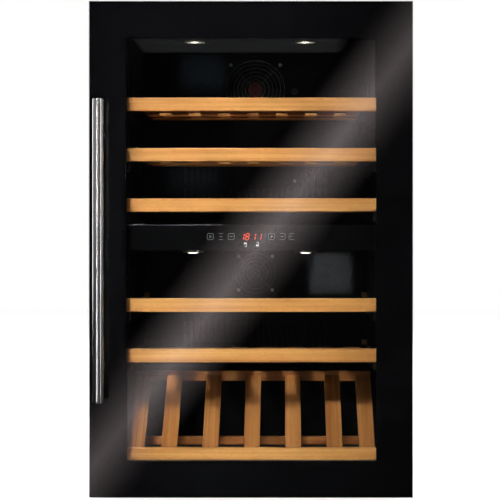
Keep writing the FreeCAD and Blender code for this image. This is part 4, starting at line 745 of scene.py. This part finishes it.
window = oblong(-half_window, window_low, half_window, window_high)
edge = oblong(mask_low.x, mask_low.z, mask_high.x, mask_high.z)
stud_holes = [[(post_x + stud_radius * math.cos(turn * math.pi / 12),
                post_z + stud_radius * math.sin(turn * math.pi / 12)) for turn in range(24)]
              for post_z in post_heights]
shape = bmesh.new()
for outline in [window, edge] + stud_holes:
    corners = [shape.verts.new((x, border_front, z)) for x, z in outline]
    for start, end in zip(corners, corners[1:] + corners[:1]):
        shape.edges.new((start, end))
face_set = bmesh.ops.triangle_fill(shape, edges=shape.edges[:], use_beauty=True, normal=(0, -1, 0))
grown = bmesh.ops.extrude_face_region(shape, geom=[face for face in face_set["geom"]
                                                   if isinstance(face, bmesh.types.BMFace)])
for vertex in grown["geom"]:
    if isinstance(vertex, bmesh.types.BMVert):
        vertex.co.y = border_back
bmesh.ops.recalc_face_normals(shape, faces=shape.faces[:])
mesh = bpy.data.meshes.new("fired_border")
shape.to_mesh(mesh)
shape.free()
border = bpy.data.objects.new("fired_border", mesh)
bpy.context.scene.collection.objects.link(border)
mesh.materials.append(fired_border)
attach(border, "door")
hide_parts("door_border_mask")
dress(surface("frame_extrusion", (0.016, 0.016, 0.017), 0.4, 0.2, grain=(6, 6, 90), tone=0.2),
      "door_frame")
dress(surface("spacer_bar", (0.3, 0.3, 0.31), 0.4, 0.6, grain=(200, 200, 200)), "door_spacer")

# The seal is an extruded black PVC bellows with a magnetic strip, welded at its four mitred
# corners and pushed into the frame's groove; its folds show when the door is open.
seal_pvc = surface("seal_pvc", (0.012, 0.012, 0.012), 0.55, grain=(300, 300, 300), depth=0.00001)


def rounded_frame(half_x, low_z, high_z, y, corner):
    """Closed path round a rectangle with rounded corners."""
    in_x, in_low, in_high = half_x - corner, low_z + corner, high_z - corner
    points = []
    for centre_x, centre_z, first in ((in_x, in_high, 0), (-in_x, in_high, 90),
                                      (-in_x, in_low, 180), (in_x, in_low, 270)):
        for step in range(7):
            angle = math.radians(first + step * 15)
            points.append((centre_x + corner * math.cos(angle), y, centre_z + corner * math.sin(angle)))
    return points


seal_low, seal_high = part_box("door_gasket")
fold, seal_corner = 0.0024, 0.012
folds = [(rounded_frame(seal_high.x - inset, seal_low.z + inset, seal_high.z - inset, y, seal_corner),
          True)
         for inset in (fold, fold * 2.9, fold * 4.8)
         for y in (seal_low.y + fold, seal_high.y - fold)]
seal = settle(paths("door_seal", folds), sweeps, "door", wire_radius=fold, sides=12, finish=seal_pvc)
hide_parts("door_gasket")

# The bar handle is a 20 mm stainless tube, satin brushed along its length, on two turned posts
# that pass through the glass into the frame.
brushed, tree, principled, coords = shader("brushed_steel", (0.6, 0.585, 0.56), 0.26, 1.0)
lines = stretched_noise(tree, coords, (2600, 2600, 4), 1.0)
tree.links.new(two_tone(tree, spread(tree, lines, 0, 1), (0.575, 0.56, 0.535), (0.625, 0.61, 0.585)),
               principled.inputs["Base Color"])
tree.links.new(spread(tree, lines, 0.23, 0.27), principled.inputs["Roughness"])
relief(tree, principled, lines, 0.000001)
dress(brushed, "handle_bar", "handle_posts")

# ---- Studio --------------------------------------------------------------------------------
# Plain pale floor, white surroundings and soft lamps, kept away from where the glass mirrors
# the camera; one long soft strip behind the camera lays a diagonal sheen across the door.
floor_half, floor_top = 6, -0.0004
floor_mesh = bpy.data.meshes.new("floor")
floor_mesh.from_pydata([(x * floor_half, y * floor_half, floor_top)
                        for x, y in ((-1, -1), (1, -1), (1, 1), (-1, 1))], [], [(0, 1, 2, 3)])
floor = bpy.data.objects.new("floor", floor_mesh)
bpy.context.scene.collection.objects.link(floor)
floor_pale, tree, principled, coords = shader("floor_pale", (0.86, 0.86, 0.86), roughness=0.8)
principled.inputs["Emission Color"].default_value = (1, 1, 1, 1)
principled.inputs["Emission Strength"].default_value = 0.96
floor_mesh.materials.append(floor_pale)
floor.visible_glossy = False
floor.visible_diffuse = False

# The strip's size and place follow from the sheen that it lays on the door: where that lies and
# how wide it is there, seen from the camera and mirrored to the strip's own distance.
CAMERA_X, CAMERA_Y, CAMERA_Z = 0.0565, -2.986, 0.502
handle_reach = 0.048
door_face = cad_low.y + handle_reach
sheen_half_wide, sheen_half_long, sheen_offset = 0.094, 0.9, 0.0106
strip_away, camera_away = 4.0, 2.73
strip_scale = 1 + strip_away / camera_away
half_wide, half_long = sheen_half_wide * strip_scale, sheen_half_long * strip_scale
lean = math.radians(52.98)
along = Vector((math.cos(lean), 0, math.sin(lean)))
over = Vector((-math.sin(lean), 0, math.cos(lean)))
strip_centre = Vector((CAMERA_X, door_face - strip_away, CAMERA_Z)) + over * sheen_offset * strip_scale
strip_mesh = bpy.data.meshes.new("strip_light")
strip_mesh.from_pydata([tuple(strip_centre + along * a * half_long + over * b * half_wide)
                        for a, b in ((-1, -1), (1, -1), (1, 1), (-1, 1))], [], [(0, 1, 2, 3)])
layer = strip_mesh.uv_layers.new(name="across")
for loop, uv in zip(layer.data, ((0, 0), (1, 0), (1, 1), (0, 1))):
    loop.uv = uv
strip_light = bpy.data.objects.new("strip_light", strip_mesh)
bpy.context.scene.collection.objects.link(strip_light)
strip_glow = bpy.data.materials.new("strip_glow")
strip_glow.use_nodes = True
tree = strip_glow.node_tree
tree.nodes.remove(tree.nodes["Principled BSDF"])
split = tree.nodes.new("ShaderNodeSeparateXYZ")
tree.links.new(tree.nodes.new("ShaderNodeTexCoord").outputs["UV"], split.inputs["Vector"])
value = split.outputs["Y"]
for operation, operand in (("SUBTRACT", 0.5), ("ABSOLUTE", 0.0), ("MULTIPLY", -2.0), ("ADD", 1.0),
                           ("MAXIMUM", 0.0), ("POWER", 1.9), ("MULTIPLY", 1.08)):
    step = tree.nodes.new("ShaderNodeMath")
    step.operation = operation
    step.inputs[1].default_value = operand
    tree.links.new(value, step.inputs[0])
    value = step.outputs["Value"]
emission = tree.nodes.new("ShaderNodeEmission")
emission.inputs["Color"].default_value = (1.0, 0.85, 0.86, 1)
tree.links.new(value, emission.inputs["Strength"])
tree.links.new(emission.outputs["Emission"], tree.nodes["Material Output"].inputs["Surface"])
strip_mesh.materials.append(strip_glow)
strip_light.visible_camera = False
strip_light.visible_diffuse = False
strip_light.visible_shadow = False


def lamp(name, place, target, width, height, power, colour=(1, 1, 1), mirrored=True, cone=180):
    """Soft rectangular lamp aimed at a point."""
    data = bpy.data.lights.new(name, "AREA")
    data.shape = "RECTANGLE"
    data.size = width
    data.size_y = height
    data.energy = power
    data.color = colour
    data.spread = math.radians(cone)
    piece = bpy.data.objects.new(name, data)
    bpy.context.scene.collection.objects.link(piece)
    direction = Vector(target) - Vector(place)
    turn = direction.to_track_quat("-Z", "Y").to_matrix().to_4x4()
    piece.matrix_world = Matrix.Translation(place) @ turn
    piece.visible_camera = False
    piece.visible_glossy = mirrored


lamp("key_high", (-0.42, -2.66, 2.38), (-0.12, -0.2, 0.57), 0.5, 1.2, 4.6, cone=22.6)
lamp("strip_left", (-1.2, -2.75, 0.55), (-0.27, -0.28, 0.46), 0.055, 1.5, 12)
lamp("strip_right", (1.9, -1.8, 0.7), (-0.27, -0.28, 0.46), 0.1, 1.5, 6)
lamp("fill_left", (-2.7, -1.3, 1.2), (-0.27, -0.3, 0.45), 1.6, 1.6, 3)
lamp("fill_right", (3.0, -0.7, 1.2), (-0.27, -0.3, 0.45), 1.6, 1.6, 4)
lamp("ceiling_glow", (-0.03, 0.0, 0.78), (-0.03, 0.0001, 0.9), 0.41, 0.4, 0.75, cone=30)
lamp("cover_sheen_low", (0.159, 0.1, 0.3985), (0.159, 0.2, 0.3985), 0.088, 0.08, 0.142, mirrored=False,
     cone=12)
lamp("cover_sheen_high", (-0.11, 0.1, 0.826), (-0.11, 0.2, 0.826), 0.08, 0.06, 0.034, (0.7, 0.95, 1.2),
     mirrored=False, cone=30)
lamp("cover_sheen_middle", (-0.13, 0.1, 0.6), (-0.13, 0.2, 0.6), 0.1, 0.05, 0.02, (0.75, 0.95, 1.1),
     mirrored=False, cone=30)
lamp("side_left", (-2.8, 0.5, 1.1), (-0.28, 0.1, 0.45), 1.6, 1.6, 60, mirrored=False)
lamp("side_right", (2.8, 0.5, 1.1), (0.28, 0.1, 0.45), 1.6, 1.6, 60, mirrored=False)
lamp("back_left", (-1.9, 2.6, 1.3), (0.0, 0.0, 0.45), 2.4, 2.4, 66)
lamp("back_right", (2.1, 2.4, 1.2), (0.0, 0.0, 0.45), 2.4, 2.4, 58)
lamp("overhead", (0.0, 0.2, 3.2), (0.0, 0.0, 0.9), 2.0, 2.0, 14)

world = bpy.data.worlds.new("surroundings")
bpy.context.scene.world = world
world.use_nodes = True
tree = world.node_tree
background = tree.nodes["Background"]
background.inputs["Color"].default_value = (0.004, 0.004, 0.0045, 1)
white = tree.nodes.new("ShaderNodeBackground")
white.inputs["Color"].default_value = (1, 1, 1, 1)
choose = tree.nodes.new("ShaderNodeMixShader")
tree.links.new(tree.nodes.new("ShaderNodeLightPath").outputs["Is Camera Ray"], choose.inputs["Fac"])
tree.links.new(background.outputs["Background"], choose.inputs[1])
tree.links.new(white.outputs["Background"], choose.inputs[2])
tree.links.new(choose.outputs["Shader"], tree.nodes["World Output"].inputs["Surface"])

camera_data = bpy.data.cameras.new("camera")
camera_data.lens = 108.1
camera_data.sensor_width = 36
camera_data.shift_x = -0.064
camera_data.shift_y = -0.05
camera = bpy.data.objects.new("camera", camera_data)
bpy.context.scene.collection.objects.link(camera)
camera.location = (CAMERA_X, CAMERA_Y, CAMERA_Z)
camera.rotation_euler = (math.pi / 2, 0, 0)
bpy.context.scene.camera = camera
bpy.context.scene.view_settings.view_transform = "Standard"
